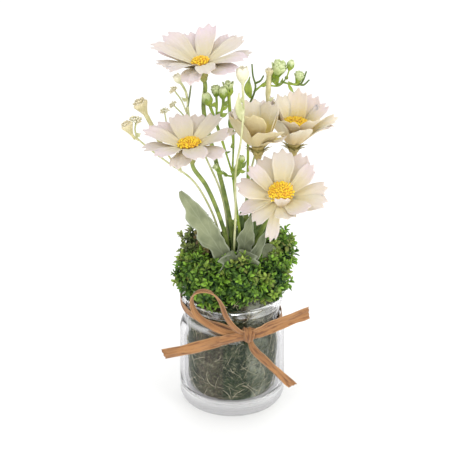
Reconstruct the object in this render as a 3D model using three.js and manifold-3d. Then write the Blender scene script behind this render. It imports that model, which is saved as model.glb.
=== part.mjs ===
// Cut daisy chrysanthemums with sprays and foliage, standing in a small clear glass jar.
// Millimetres, +Z up. The origin is the middle of the jar's foot, on the surface it stands on.
// -Y is the front, where the tie is knotted.

import * as THREE from 'three';
import { mergeVertices } from 'three/addons/utils/BufferGeometryUtils.js';
import Module from 'manifold-3d';

const wasm = await Module();
wasm.setup();

// ---------------------------------------------------------------- driving dimensions

const JAR_RADIUS = 35;
const JAR_HEIGHT = 78.5;
const JAR_FOOT_RADIUS = 26;
const JAR_SHOULDER_Z = 53.5;
const NECK_RADIUS = 31.6;
const NECK_Z = 62;
const BEAD_RADIUS = 32.8;
const BEAD_Z = 69;
const MOUTH_RADIUS = 29.4;
const WALL = 3;
const FLOOR = 6.5;
const JAR_SEGMENTS = 32;

const MOSS_TOP = 84.5;
const MOSS_NECK_RADIUS = 28.7;
const MOSS_BODY_RADIUS = 30.2;
const MOSS_SEGMENTS = 20;

const GAP = 0.35;              // air left between pieces that touch in the real thing
const HOLE_PLAY = 0.7;         // how much wider than its stalk a hole in the moss is, in radius
const ROOT_Z = 62;             // how deep the stalks reach into the moss
const HOLE_Z = 61;

const STEM_RADIUS = 1.15;
const SPRAY_RADIUS = 0.95;
const PALE_RADIUS = 0.75;
const TWIG_RADIUS = 0.55;
const TUBE_SIDES = 5;

const PETAL_THICKNESS = 0.65;
const LEAF_THICKNESS = 0.7;
const RAFFIA_THICKNESS = 0.7;

const COLOURS = {
  glass: 0xeaf2f0,
  moss: 0x3c4a2c,
  foliage: 0x4c8a2a,
  dryFoliage: 0x48602f,
  petal: 0xf5ead8,
  disc: 0xf2b81e,
  stem: 0x6f8a2c,
  silver: 0x93a58a,
  narrow: 0x3f5a24,
  spray: 0x6fa23c,
  pale: 0xcfd6a6,
  raffia: 0xbd8350,
};

// ---------------------------------------------------------------- general helpers

const rad = THREE.MathUtils.degToRad;
const vec = (p) => new THREE.Vector3(...p);

// The same short random series for the same seed, so every build is alike.
function seeded(seed) {
  let state = seed >>> 0;
  return () => {
    state = (state + 0x6d2b79f5) >>> 0;
    let mixed = Math.imul(state ^ (state >>> 15), state | 1);
    mixed ^= mixed + Math.imul(mixed ^ (mixed >>> 7), mixed | 61);
    return ((mixed ^ (mixed >>> 14)) >>> 0) / 4294967296;
  };
}

function toSolid(geometry) {
  const bare = geometry.clone();
  bare.deleteAttribute('normal');
  bare.deleteAttribute('uv');
  const merged = mergeVertices(bare, 1e-4);
  const corners = merged.index.array;
  const kept = [];
  for (let i = 0; i < corners.length; i += 3) {
    const [a, b, c] = [corners[i], corners[i + 1], corners[i + 2]];
    if (a !== b && b !== c && c !== a) kept.push(a, b, c);
  }
  return new wasm.Manifold(new wasm.Mesh({
    numProp: 3,
    vertProperties: new Float32Array(merged.attributes.position.array),
    triVerts: new Uint32Array(kept),
  }));
}

// Joins solids, and keeps the largest body, so that no loose scrap or sealed hollow stays.
function join(solids) {
  const whole = solids.reduce((sum, solid) => sum.add(solid));
  const bodies = whole.decompose();
  return bodies.reduce((best, body) => (body.volume() > best.volume() ? body : best));
}

function toGeometry(solid) {
  const { vertProperties, triVerts } = solid.getMesh();
  const geometry = new THREE.BufferGeometry();
  geometry.setAttribute('position', new THREE.BufferAttribute(vertProperties, 3));
  geometry.setIndex(new THREE.BufferAttribute(triVerts, 1));
  geometry.computeVertexNormals();
  return geometry;
}

const arrangement = new THREE.Group();

function addPart(name, solid, colour, roughness = 0.7) {
  const material = new THREE.MeshStandardMaterial({ color: colour, roughness, metalness: 0 });
  const mesh = new THREE.Mesh(toGeometry(solid), material);
  mesh.name = name;
  arrangement.add(mesh);
}

// A turned body round the Z axis, from [radius, z] points that start and end on the axis.
function turned(profile, segments) {
  const points = profile.map(([r, z]) => new THREE.Vector2(r, z));
  const geometry = new THREE.LatheGeometry(points, segments);
  geometry.rotateX(Math.PI / 2);
  return toSolid(geometry);
}

// A round stalk or twig through the points.
function tube(points, radius, steps, sides = TUBE_SIDES) {
  const corners = Array.from({ length: sides }, (_, i) => {
    const angle = (2 * Math.PI * i) / sides;
    return new THREE.Vector2(radius * Math.cos(angle), radius * Math.sin(angle));
  });
  const extrudePath = new THREE.CatmullRomCurve3(points.map(vec), false, 'centripetal');
  const options = { steps, extrudePath, bevelEnabled: false };
  return toSolid(new THREE.ExtrudeGeometry(new THREE.Shape(corners), options));
}

// The half thickness of a sheet at a point of its middle surface, square to the surface.
function sheetOffset(surface, u, v, du, dv, thickness) {
  const at = (a, b) => surface(THREE.MathUtils.clamp(a, 0, 1), THREE.MathUtils.clamp(b, 0, 1));
  const alongU = at(u + du, v).sub(at(u - du, v));
  const alongV = at(u, v + dv).sub(at(u, v - dv));
  return alongU.cross(alongV).normalize().multiplyScalar(thickness / 2);
}

// A thin closed sheet. surface(u, v) is its middle, u across and v along, both 0 to 1.
function sheet(columns, rows, thickness, surface) {
  const middles = [];
  const offsets = [];
  for (let j = 0; j <= rows; j += 1) {
    for (let i = 0; i <= columns; i += 1) {
      const [u, v] = [i / columns, j / rows];
      middles.push(surface(u, v));
      offsets.push(sheetOffset(surface, u, v, 1 / columns, 1 / rows, thickness));
    }
  }
  const across = columns + 1;
  const faces = [];
  for (let j = 0; j < rows; j += 1) {
    for (let i = 0; i < columns; i += 1) {
      const k = j * across + i;
      faces.push([k, k + 1, k + across + 1], [k, k + across + 1, k + across]);
    }
  }
  const rim = [];
  for (let i = 0; i < columns; i += 1) rim.push(i);
  for (let j = 0; j < rows; j += 1) rim.push(j * across + columns);
  for (let i = columns; i > 0; i -= 1) rim.push(rows * across + i);
  for (let j = rows; j > 0; j -= 1) rim.push(j * across);
  return thickened(middles, offsets, faces, rim);
}

// Closes a surface into a solid: both faces are split into the same triangles, so that they
// never cross, and the rim joins them.
function thickened(middles, offsets, faces, rim) {
  const count = middles.length;
  const positions = new Float32Array(count * 6);
  middles.forEach((middle, k) => {
    middle.clone().add(offsets[k]).toArray(positions, k * 3);
    middle.clone().sub(offsets[k]).toArray(positions, (count + k) * 3);
  });
  const index = faces.flatMap(([a, b, c]) => [a, b, c, count + a, count + c, count + b]);
  rim.forEach((k, i) => {
    const next = rim[(i + 1) % rim.length];
    index.push(next, k, count + k, next, count + k, count + next);
  });
  const geometry = new THREE.BufferGeometry();
  geometry.setAttribute('position', new THREE.BufferAttribute(positions, 3));
  geometry.setIndex(index);
  return toSolid(geometry);
}

// A star with pointed lobes round +Z at the origin, its underside drawn down to a point.
// The lobes' tips rise by lift, as a part of the radius.
function star(lobes, radius, lift, depth, turn) {
  const ring = lobes * 2;
  const positions = [0, 0, radius * 0.12, 0, 0, -depth];
  for (let i = 0; i < ring; i += 1) {
    const isTip = i % 2 === 0;
    const reach = isTip ? radius : radius * 0.42;
    const angle = turn + (2 * Math.PI * i) / ring;
    positions.push(reach * Math.cos(angle), reach * Math.sin(angle),
      isTip ? radius * lift : radius * 0.05);
  }
  const index = [];
  for (let i = 0; i < ring; i += 1) {
    const here = 2 + i;
    const next = 2 + ((i + 1) % ring);
    index.push(0, here, next, 1, next, here);
  }
  const geometry = new THREE.BufferGeometry();
  geometry.setAttribute('position', new THREE.BufferAttribute(new Float32Array(positions), 3));
  geometry.setIndex(index);
  return toSolid(geometry);
}

// Moves a solid built round +Z at the origin to a place, with its own +Z along a direction.
function stand(solid, place, direction) {
  const turn = new THREE.Quaternion().setFromUnitVectors(
    new THREE.Vector3(0, 0, 1), direction.clone().normalize());
  const matrix = new THREE.Matrix4().compose(place, turn, new THREE.Vector3(1, 1, 1));
  return solid.transform(matrix.toArray());
}

// ---------------------------------------------------------------- jar

// The outside, from the middle of the foot up to the top of the rim, as [radius, z].
function jarOutside() {
  const foot = JAR_RADIUS - JAR_FOOT_RADIUS;
  const fillet = [0, 30, 60, 90].map((angle) => [
    JAR_FOOT_RADIUS + foot * Math.sin(rad(angle)),
    foot * (1 - Math.cos(rad(angle))),
  ]);
  return [
    [0, 0],
    ...fillet,
    [JAR_RADIUS, JAR_SHOULDER_Z],
    [JAR_RADIUS - 0.9, JAR_SHOULDER_Z + 3.8],
    [NECK_RADIUS, NECK_Z],
    [NECK_RADIUS, BEAD_Z],
    [BEAD_RADIUS - 0.2, BEAD_Z + 1.6],
    [BEAD_RADIUS, BEAD_Z + 4.5],
    [BEAD_RADIUS - 0.4, JAR_HEIGHT - 1.4],
    [BEAD_RADIUS - 1.5, JAR_HEIGHT],
  ];
}

function jarInside() {
  const radius = JAR_RADIUS - WALL;
  return [
    [MOUTH_RADIUS + 0.9, JAR_HEIGHT],
    [MOUTH_RADIUS, JAR_HEIGHT - 1.2],
    [MOUTH_RADIUS, NECK_Z],
    [radius, JAR_SHOULDER_Z],
    [radius, FLOOR + 9],
    [radius - 2.2, FLOOR + 3.6],
    [radius - 7, FLOOR + 0.7],
    [0, FLOOR],
  ];
}

const jar = turned([...jarOutside(), ...jarInside()], JAR_SEGMENTS);

// The outer radius of the glass at a height, by straight lines between the profile's points.
function glassRadius(z) {
  const outside = jarOutside();
  const upper = outside.findIndex(([, height]) => height >= z);
  if (upper < 1) return BEAD_RADIUS;
  const [r0, z0] = outside[upper - 1];
  const [r1, z1] = outside[upper];
  return r0 + ((r1 - r0) * (z - z0)) / Math.max(z1 - z0, 1e-6);
}

// What foliage keeps clear of round the rim.
function rimClearance() {
  const ring = new THREE.LatheGeometry([
    [MOUTH_RADIUS - GAP, NECK_Z],
    [BEAD_RADIUS + GAP, NECK_Z],
    [BEAD_RADIUS + GAP, JAR_HEIGHT - 0.6],
    [BEAD_RADIUS - 1, JAR_HEIGHT + GAP],
    [MOUTH_RADIUS + 0.4, JAR_HEIGHT + GAP],
    [MOUTH_RADIUS - GAP, JAR_HEIGHT - 0.6],
    [MOUTH_RADIUS - GAP, NECK_Z],
  ].map(([r, z]) => new THREE.Vector2(r, z)), JAR_SEGMENTS);
  ring.rotateX(Math.PI / 2);
  return toSolid(ring);
}

// ---------------------------------------------------------------- where the stalks stand

// Each stalk goes straight up out of the moss at its root [x, y] before it leans.
const rooted = ([x, y]) => [[x, y, ROOT_Z], [x, y, 74], [x, y, 86]];

// ---------------------------------------------------------------- blooms

// hub: middle of the flower. tilt: lean of its axis, towards facing (degrees, 270 is the front).
// reach: petal length from the hub. turn: where its first petal points.
// back, front, left, right: how steeply the petals on that side rise, at root and at tip.
// fallen: a bearing where a petal has dropped from among its neighbours, and by how much.
const BLOOMS = [
  {
    name: 'daisy_1', seed: 11, hub: [-19.8, 5, 234], tilt: 12, facing: 212, petals: 14, turn: 0,
    reach: 34, width: 14, rootRadius: 4.2, disc: 5.8, discLift: 0.8, dome: 2.2,
    back: [16, 27], front: [34, -16], left: [40, 24], right: [9, 3], fallen: [0, 0],
    root: [0, 3], stem: [[0.5, 4, 112], [-4, 7, 140], [-12, 12, 172], [-18.5, 12, 202]],
  },
  {
    name: 'daisy_2', seed: 23, hub: [-26.9, -18, 187.6], tilt: 10, facing: 215, petals: 12, turn: 15,
    reach: 31, width: 14.5, rootRadius: 4.2, disc: 7, discLift: 0.8, dome: 3,
    back: [16, 27], front: [28, -20], left: [26, 18], right: [18, 10], fallen: [0, 0],
    root: [-4, -5], stem: [[-3, -5.5, 112], [-8, -8, 135], [-17, -13, 160]],
  },
  {
    name: 'daisy_3', seed: 31, hub: [16.1, -2, 184.4], tilt: 4, facing: 110, petals: 10, turn: 0,
    reach: 31, width: 17, rootRadius: 5.2, disc: 4.4, discLift: 1.5, dome: 3,
    back: [60, 70], front: [48, 50], left: [48, 68], right: [62, 68], fallen: [324, 40],
    root: [7, 3], stem: [[7.5, 3.5, 116], [10, 4.5, 140], [15, 1, 165]],
  },
  {
    name: 'daisy_4', seed: 47, hub: [40.4, 26, 175.4], tilt: 4, facing: 300, petals: 13, turn: 0,
    reach: 36, width: 15.5, rootRadius: 5.4, disc: 6, discLift: 5, dome: 2.6,
    back: [64, 58], front: [52, 42], left: [66, 64], right: [56, 26], fallen: [0, 0],
    root: [12, 4], stem: [[13, 5, 112], [24, 13, 134], [35, 22, 155]],
  },
  {
    name: 'daisy_5', seed: 59, hub: [31, -24, 156.6], tilt: 31, facing: 262, petals: 13, turn: 0,
    reach: 32, width: 15, rootRadius: 4.6, disc: 8.8, discLift: 2.2, dome: 5,
    back: [16, 34], front: [14, 34], left: [8, 24], right: [8, 26], fallen: [0, 0],
    root: [14, -4], stem: [[14.5, -4, 112], [19, -6, 126], [26, -14, 142]],
  },
];

const HUB_HEIGHT = 2.2;
const HUB_RADIUS = 3;
const PETAL_COLUMNS = 4;
const PETAL_MIDDLE = 0.56;     // where along a petal its middle row of points is
const CALYX_HEIGHT = 9;
const SEPAL_REACH = 7.2;
const SEPALS = 5;
const STEM_STEPS = 9;

// Three axes of a bloom: two across it and the one it faces along.
function bloomAxes({ tilt, facing }) {
  const axis = new THREE.Vector3(
    Math.sin(rad(tilt)) * Math.cos(rad(facing)),
    Math.sin(rad(tilt)) * Math.sin(rad(facing)),
    Math.cos(rad(tilt)));
  const right = new THREE.Vector3(0, 1, 0).cross(axis).normalize();
  const back = axis.clone().cross(right);
  return { right, back, axis };
}

// How far a petal's end is cut back at u across it: two or three blunt teeth.
function toothCut(u, teeth) {
  const side = (2 * u - 1) ** 2;
  if (teeth === 2) return 0.09 * Math.cos(2 * Math.PI * u) ** 2 + 0.06 * side;
  return 0.08 * Math.sin(2 * Math.PI * u) ** 2 + 0.09 * side;
}

function petalWidth(s) {
  const widest = 0.64;
  if (s < widest) {
    const x = s / widest;
    return 0.3 + 0.7 * x ** 0.9;
  }
  return 1 - 0.34 * ((s - widest) / (1 - widest)) ** 2;
}

// The middle surface of one petal, in the bloom's own axes.
function petalSurface(petal) {
  const { bearing, reach, width, rise, start, finish, teeth, twist, cup, root } = petal;
  const length = reach - root;
  const knee = [root + 0.45 * length * Math.cos(start), rise + 0.45 * length * Math.sin(start)];
  const tip = [knee[0] + 0.55 * length * Math.cos(finish),
    knee[1] + 0.55 * length * Math.sin(finish)];
  return (u, v) => {
    const s = v * (1 - toothCut(u, teeth) * v ** 3);
    const bend = (a, b, c) => (1 - s) ** 2 * a + 2 * s * (1 - s) * b + s * s * c;
    const out = bend(root, knee[0], tip[0]);
    const up = bend(rise, knee[1], tip[1]);
    const slope = start + (finish - start) * s;
    const side = (u - 0.5) * width * petalWidth(s);
    const lift = cup * (2 * u - 1) ** 2 * petalWidth(s) + side * Math.tan(twist * s);
    const radial = out - lift * Math.sin(slope);
    const height = up + lift * Math.cos(slope);
    return new THREE.Vector3(
      radial * Math.cos(bearing) - side * Math.sin(bearing),
      radial * Math.sin(bearing) + side * Math.cos(bearing),
      height);
  };
}

// A petal's slope where it starts (end 0) or at its tip (end 1), by the side that it is on.
function slopeAt(bloom, bearing, end) {
  const across = Math.cos(rad(bearing));
  const back = Math.sin(rad(bearing));
  const [middle, drop] = bloom.fallen;
  const fallen = drop * Math.max(0, Math.cos(rad(bearing - middle))) ** 8;
  return bloom.right[end] * Math.max(0, across) ** 2 + bloom.left[end] * Math.max(0, -across) ** 2
    + bloom.back[end] * Math.max(0, back) ** 2 + bloom.front[end] * Math.max(0, -back) ** 2 - fallen;
}

// The petals of a bloom by rule: evenly round the hub, every other one in the upper whorl.
function petalList(bloom) {
  const random = seeded(bloom.seed);
  const spread = (amount) => (random() * 2 - 1) * amount;
  return Array.from({ length: bloom.petals }, (_, i) => {
    const bearing = (360 * i) / bloom.petals + bloom.turn + spread(2.5);
    const upper = i % 2;
    const lean = spread(1.5) + upper * 6;
    const start = rad(slopeAt(bloom, bearing, 0) + lean);
    return {
      bearing: rad(bearing),
      upper,
      reach: bloom.reach * (1 + spread(0.06)),
      width: bloom.width * (1 + spread(0.09)),
      rise: upper * 1.2 - 0.6,
      start,
      finish: rad(slopeAt(bloom, bearing, 1) + lean + spread(6)),
      teeth: random() < 0.5 ? 2 : 3,
      twist: rad(spread(6)),
      cup: 0.3 + upper * 0.8 + spread(0.2),
      root: bloom.rootRadius - upper * 1.2 * Math.sin(start),
    };
  });
}

function placeInBloom(solid, bloom) {
  const { right, back, axis } = bloomAxes(bloom);
  const matrix = new THREE.Matrix4().makeBasis(right, back, axis).setPosition(...bloom.hub);
  return solid.transform(matrix.toArray());
}

// One whorl: its petals are cut from one sheet, round a flat middle.
function whorl(petals) {
  const { root, rise, start } = petals[0];
  const middles = [new THREE.Vector3(0, 0, rise)];
  const offsets = [new THREE.Vector3(0, 0, PETAL_THICKNESS / 2)];
  const faces = [];
  const rim = [];
  const step = (2 * Math.PI) / petals.length;
  const corner = (k) => 1 + (k % petals.length);
  petals.forEach((petal, k) => {
    const between = petals[0].bearing + (k - 0.5) * step;
    const outward = new THREE.Vector3(Math.cos(between), Math.sin(between), 0);
    middles.push(outward.clone().multiplyScalar(root).setZ(rise));
    offsets.push(outward.multiplyScalar(-Math.sin(start / 2)).setZ(Math.cos(start / 2))
      .multiplyScalar(PETAL_THICKNESS / 2));
    faces.push([0, corner(k), corner(k + 1)]);
  });
  petals.forEach((petal, k) => {
    const surface = petalSurface(petal);
    const first = middles.length;
    for (const v of [PETAL_MIDDLE, 1]) {
      for (let i = 0; i <= PETAL_COLUMNS; i += 1) {
        const u = i / PETAL_COLUMNS;
        middles.push(surface(u, v));
        offsets.push(sheetOffset(surface, u, v, 1 / PETAL_COLUMNS, 0.4, -PETAL_THICKNESS));
      }
    }
    const across = PETAL_COLUMNS + 1;
    faces.push([corner(k), first + PETAL_COLUMNS, corner(k + 1)]);
    for (let i = 0; i < PETAL_COLUMNS; i += 1) {
      const here = first + i;
      faces.push([corner(k), here, here + 1]);
      faces.push([here, here + across, here + across + 1], [here, here + across + 1, here + 1]);
    }
    const tips = Array.from({ length: across }, (_, i) => first + across + i);
    rim.push(corner(k), first, ...tips, first + PETAL_COLUMNS);
  });
  return thickened(middles, offsets, faces, rim);
}

function bloomPetals(bloom) {
  const hub = turned([
    [0, -HUB_HEIGHT / 2], [HUB_RADIUS, -HUB_HEIGHT / 2],
    [HUB_RADIUS, HUB_HEIGHT / 2], [0, HUB_HEIGHT / 2],
  ], 8);
  const petals = petalList(bloom);
  const whorls = [0, 1].map((upper) => whorl(petals.filter((petal) => petal.upper === upper)));
  return placeInBloom(join([hub, ...whorls]), bloom);
}

// The disc: a low dome of florets, raised and sunk by turns.
function bloomDisc(bloom) {
  const columns = 10;
  const rows = 6;
  const dome = new THREE.SphereGeometry(1, columns, rows);
  dome.rotateX(Math.PI / 2);
  const merged = mergeVertices(new THREE.BufferGeometry()
    .setAttribute('position', dome.attributes.position).setIndex(dome.index), 1e-4);
  const place = merged.attributes.position;
  const floor = HUB_HEIGHT / 2 + GAP + bloom.discLift;
  for (let i = 0; i < place.count; i += 1) {
    const point = new THREE.Vector3().fromBufferAttribute(place, i);
    const ring = Math.round((Math.acos(THREE.MathUtils.clamp(point.z, -1, 1)) / Math.PI) * rows);
    const sector = Math.round((Math.atan2(point.y, point.x) / (2 * Math.PI)) * columns);
    const floret = point.z > 0.05 ? 0.1 * ((ring + sector + columns) % 2) : 0;
    const radius = bloom.disc * (0.93 + floret * 0.7);
    point.set(point.x * radius, point.y * radius,
      point.z > 0 ? floor + 0.6 + point.z * (bloom.dome + floret * 6) : floor + 0.6 + point.z * 0.6);
    place.setXYZ(i, point.x, point.y, point.z);
  }
  return placeInBloom(toSolid(merged), bloom);
}

// Stem, calyx and sepals. The stem's last points follow the bloom's own axis.
function stemPoints(bloom) {
  const { axis } = bloomAxes(bloom);
  const under = (distance) => vec(bloom.hub).addScaledVector(axis, -distance).toArray();
  return [...rooted(bloom.root), ...bloom.stem, under(14), under(7)];
}

function bloomStem(bloom) {
  const { axis } = bloomAxes(bloom);
  const top = vec(bloom.hub).addScaledVector(axis, -HUB_HEIGHT / 2 - GAP - 0.7);
  const calyx = stand(star(SEPALS, SEPAL_REACH, 0, CALYX_HEIGHT, bloom.seed), top, axis);
  return join([tube(stemPoints(bloom), STEM_RADIUS, STEM_STEPS), calyx]);
}

// ---------------------------------------------------------------- sprays

// A spray is a stalk with twigs that end in a bud, bare shoots and small leaves, as lists of points.
const GREEN_SPRAYS = [
  {
    name: 'green_spray_1', root: [5, -6],
    stalk: [[5.5, -5.5, 115], [2, -3, 145], [0, -1, 166]],
    twigs: [
      [[0, -1, 163], [-7.5, 5.5, 186], [-12, 5.8, 200], [-15.5, 5.5, 210]],
      [[-10.7, 5.7, 195.5], [-10, 7.5, 207], [-10.5, 8, 215]],
      [[-10.4, 5.6, 194.5], [-6, 7, 206], [-6, 6, 214]],
      [[0, -1, 164], [0.5, 6, 184], [-1.5, 9, 200], [-2.5, 9, 215]],
      [[0, -1, 161], [-5, -5, 164], [-9, -6, 168]],
      [[0, -1, 162], [5, -5, 168], [6, -6, 174]],
    ],
    shoots: [],
    leaves: [[[-0.5, 8, 188], [0, 12, 194], [-1, 13, 201]], [[0, -1, 159], [5, 1, 167], [5, 2, 175]]],
  },
  {
    name: 'green_spray_2', root: [9, 10],
    stalk: [[9.5, 11, 115], [10, 15, 150], [10.3, 20, 182], [11, 20, 204]],
    twigs: [
      [[13.6, 20, 211], [20, 21.5, 216], [27, 22, 218.5], [31.1, 22, 224]],
      [[20, 21.5, 216], [30, 24, 214], [34.6, 23, 220], [36.8, 22, 227.4]],
      [[32, 23.6, 216.6], [38, 23, 215.4], [41.4, 23, 215.8], [42.4, 23, 219]],
    ],
    shoots: [
      [[10.9, 20, 202], [14.8, 20, 214.5], [13.1, 20, 222], [12.4, 20, 230]],
      [[38, 23.2, 215.4], [43, 24, 214.6], [45, 23.4, 217], [47.4, 23, 224]],
      [[41.5, 23.4, 215.9], [45.5, 24, 214.4], [49.5, 24, 218]],
      [[14.6, 20, 217], [18, 19.6, 219], [20, 21, 222]],
    ],
    leaves: [
      [[11.9, 20, 207], [8.4, 18, 214], [11.2, 19, 222]],
      [[29, 23.4, 214.6], [25.4, 21, 220], [30.6, 20, 229]],
    ],
  },
];

const PALE_SPRAYS = [
  {
    name: 'pale_spray_1', root: [-10, -1],
    stalk: [[-9, -2, 110], [-9, -2, 122], [-15, -1, 140], [-26, 1, 158], [-41, 0, 170], [-54, -1, 181],
      [-62, -2, 189]],
    twigs: [
      [[-60, -2, 186.5], [-63.5, -3, 190], [-65.5, -3.5, 194]],
      [[-60.5, -2, 187], [-62, 0, 192], [-61.5, 0, 197.5]],
      [[-34, 1, 164], [-45, 8, 178], [-51, 8, 191], [-57, 7, 204]],
      [[-33, 1, 163], [-36, 10, 176], [-42, 14, 190], [-43.5, 13, 199.5]],
    ],
    shoots: [], leaves: [],
  },
  {
    name: 'pale_spray_2', root: [-4, 10],
    stalk: [[-3, 10.5, 116], [-7, 14, 142], [-17, 18, 166], [-27, 18, 190], [-29, 18, 206]],
    twigs: [
      [[-28.6, 18, 200], [-30, 18, 212], [-34, 18, 219.5]],
      [[-27.5, 18, 192], [-33, 19, 206], [-37, 19, 212]],
      [[-26.6, 18, 188], [-32, 19, 196], [-37.5, 19, 202]],
    ],
    shoots: [[[-28.8, 18, 202], [-27.4, 19, 210], [-26.6, 19, 216]]], leaves: [],
  },
  {
    name: 'pale_spray_3', root: [1, -11],
    stalk: [[1, -11.5, 112], [2, -12, 140], [2, -14, 170], [5, -20, 192], [7, -18, 214]],
    twigs: [[[7, -18, 211], [6.4, -16, 224], [6, -15, 233]]],
    shoots: [], leaves: [[[7, -18.5, 205], [2.4, -17.5, 213], [4, -16.5, 224]]],
  },
  {
    name: 'pale_spray_4', root: [6, 15],
    stalk: [[7, 17, 116], [11, 20, 150], [18, 19, 182], [21.6, 18, 200]],
    twigs: [[[21.5, 18, 198], [22.9, 18.5, 211], [23.4, 19.5, 223]]],
    shoots: [], leaves: [],
  },
];

const SPRAY_STEPS = 8;

// A small egg of a bud in a cup of sepals, standing on +Z.
function bud(radius) {
  return turned([[0, -radius], [radius, radius * 0.35], [radius * 0.86, radius * 1.5],
    [0, radius * 2.1]], 5);
}

// A trumpet floret: a narrow cone that opens into a five-pointed star.
function trumpet(radius) {
  return star(5, radius * 1.25, 0.1, radius * 2.2, 0).translate([0, 0, radius * 1.6]);
}

const twigEnd = (twig) => vec(twig.at(-1));
const twigAim = (twig) => vec(twig.at(-1)).sub(vec(twig.at(-2)));

// A small pointed leaf on a spray, along three points.
function smallLeaf([from, over, tip], width) {
  const spine = new THREE.QuadraticBezierCurve3(vec(from), vec(over), vec(tip));
  return sheet(2, 2, PETAL_THICKNESS, (u, v) => {
    const forward = spine.getTangent(v);
    const side = forward.cross(new THREE.Vector3(0.2, 1, 0)).normalize();
    const half = width * (0.18 + 0.82 * Math.sin(Math.PI * Math.min(v + 0.1, 1)));
    const fold = Math.abs(2 * u - 1) * -0.8;
    return spine.getPoint(v).addScaledVector(side, (u - 0.5) * half)
      .add(new THREE.Vector3(0, fold, 0));
  });
}

function spray({ root, stalk, twigs, shoots, leaves }, radius, head, size) {
  const main = tube([...rooted(root), ...stalk], radius, SPRAY_STEPS);
  const branches = [...twigs, ...shoots].map((twig) => tube(twig, TWIG_RADIUS, 2, 4));
  const heads = twigs.map((twig, i) => stand(head(size * (1 + 0.15 * (i % 3))),
    twigEnd(twig), twigAim(twig)));
  const blades = leaves.map((leaf) => smallLeaf(leaf, 6));
  return join([main, ...branches, ...heads, ...blades]);
}

// ---------------------------------------------------------------- leaves on stalks

// spine: points from root to tip. across: direction of the width at root and at tip.
const SILVER_ROOT = [4, -13];
const SILVER_FORK = [4, -13.5, 100];
const SILVER_LEAVES = [
  { width: 14.5, lobes: 4, across: [[0.9, -0.2, 0.3], [0.75, -0.2, 0.6]], cup: 1.8,
    spine: [SILVER_FORK, [-6, -14, 112], [-18.5, -11, 131], [-33.5, -6, 153]] },
  { width: 25, lobes: 2, across: [[0.9, 0.4, 0], [1, 0.1, 0.1]], cup: 2.4,
    spine: [SILVER_FORK, [3, -18.5, 104.5], [3, -20, 111], [2, -18.5, 121]] },
  { width: 12, lobes: 3, across: [[-0.1, 0.3, 0.9], [-0.5, 0.2, 0.85]], cup: 1.6,
    spine: [SILVER_FORK, [13, -13, 104], [20, -11, 110], [27, -8, 117]] },
  { width: 11, lobes: 3, across: [[1, 0.2, 0], [1, 0.1, -0.2]], cup: 1.2,
    spine: [SILVER_FORK, [6.5, -12, 110], [9, -11, 125], [12, -11, 138]] },
  { width: 8, lobes: 2, across: [[1, -0.2, 0], [0.9, 0, -0.4]], cup: 0.8,
    spine: [SILVER_FORK, [11, -16, 107], [16, -17, 117], [22, -16.5, 131]] },
];

const NARROW_ROOT = [9, -2];
const NARROW_FORK = [9, -2, 106];
const NARROW_LEAVES = [
  { width: 5, lobes: 0, across: [[1, 0, 0], [1, 0, -0.3]], cup: 0.9,
    spine: [NARROW_FORK, [10.5, -4, 119], [13, -5, 133], [17, -6, 146]] },
  { width: 4.6, lobes: 0, across: [[0.9, 0.3, -0.3], [0.8, 0.2, -0.6]], cup: 0.9,
    spine: [NARROW_FORK, [14, -0.5, 116], [20, 0, 126], [25, 0, 134]] },
  { width: 4.4, lobes: 0, across: [[0.9, -0.3, 0], [0.9, -0.3, -0.3]], cup: 0.9,
    spine: [NARROW_FORK, [7, -1.5, 116], [6, -0.5, 126], [5.5, 0, 136]] },
];

// How wide a blunt leaf is along its length: widest past the middle, with a round end.
function bluntOutline(v) {
  const widest = 0.56;
  if (v < widest) return 0.3 + 0.7 * Math.sin((Math.PI / 2) * (v / widest));
  return Math.sqrt(1 - 0.93 * ((v - widest) / (1 - widest)) ** 2.4);
}

const LEAF_ROWS = 6;
const NARROW_ROWS = 4;
const FORK_ROOM = 4.2;

// A leaf blade with a lobed edge. extra thickens and widens it, for the room that it needs.
function leafBlade({ width, lobes, across, cup, spine }, rows, extra = 0) {
  const curve = new THREE.CatmullRomCurve3(spine.map(vec), false, 'centripetal');
  return sheet(2, rows, LEAF_THICKNESS + 2 * extra, (u, v) => {
    const side = vec(across[0]).lerp(vec(across[1]), v);
    const forward = curve.getTangentAt(v);
    side.addScaledVector(forward, -side.dot(forward)).normalize();
    const face = side.clone().cross(forward);
    const edge = lobes ? 1 + 0.12 * Math.cos(2 * Math.PI * lobes * v + 1) : 1;
    const outline = lobes ? bluntOutline(v) : Math.sin(Math.PI * (0.1 + 0.88 * v)) ** 0.7;
    const half = width * outline * edge + extra * 2;
    return curve.getPointAt(v)
      .addScaledVector(side, (u - 0.5) * half)
      .addScaledVector(face, cup * (2 * u - 1) ** 2 * outline);
  });
}

function leafyStalk(root, fork, leaves, rows, extra = 0) {
  const stalk = tube([...rooted(root), fork], PALE_RADIUS + extra, 4);
  return join([stalk, ...leaves.map((leaf) => leafBlade(leaf, rows, extra))]);
}

// ---------------------------------------------------------------- bushy sprigs round the mouth

// Each clump has its middle, its three radii, and the place where its stalk enters the moss.
const CLUMPS = [
  { name: 'foliage_1', seed: 101, middle: [5, -23, 96.5], radii: [13.5, 11.5, 15.5], root: [5, -21] },
  { name: 'foliage_2', seed: 102, middle: [24, -12, 95], radii: [14, 13.5, 15], root: [18, -11] },
  { name: 'foliage_3', seed: 103, middle: [28, 11, 100], radii: [13.5, 14.5, 19], root: [20, 8] },
  { name: 'foliage_4', seed: 104, middle: [6, 25, 97], radii: [15, 12, 18], root: [3, 21] },
  { name: 'foliage_5', seed: 105, middle: [-21, 14, 100], radii: [14, 14, 20], root: [-16, 12],
    dry: true },
  { name: 'foliage_6', seed: 106, middle: [-24, -6, 94], radii: [13, 13, 13.5], root: [-20, -4] },
  { name: 'foliage_7', seed: 107, middle: [-12, -21, 93], radii: [12.5, 11.5, 13.5], root: [-9, -19] },
];
const ROSETTES = 13;
const ROSETTE_LEAVES = 5;
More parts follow.
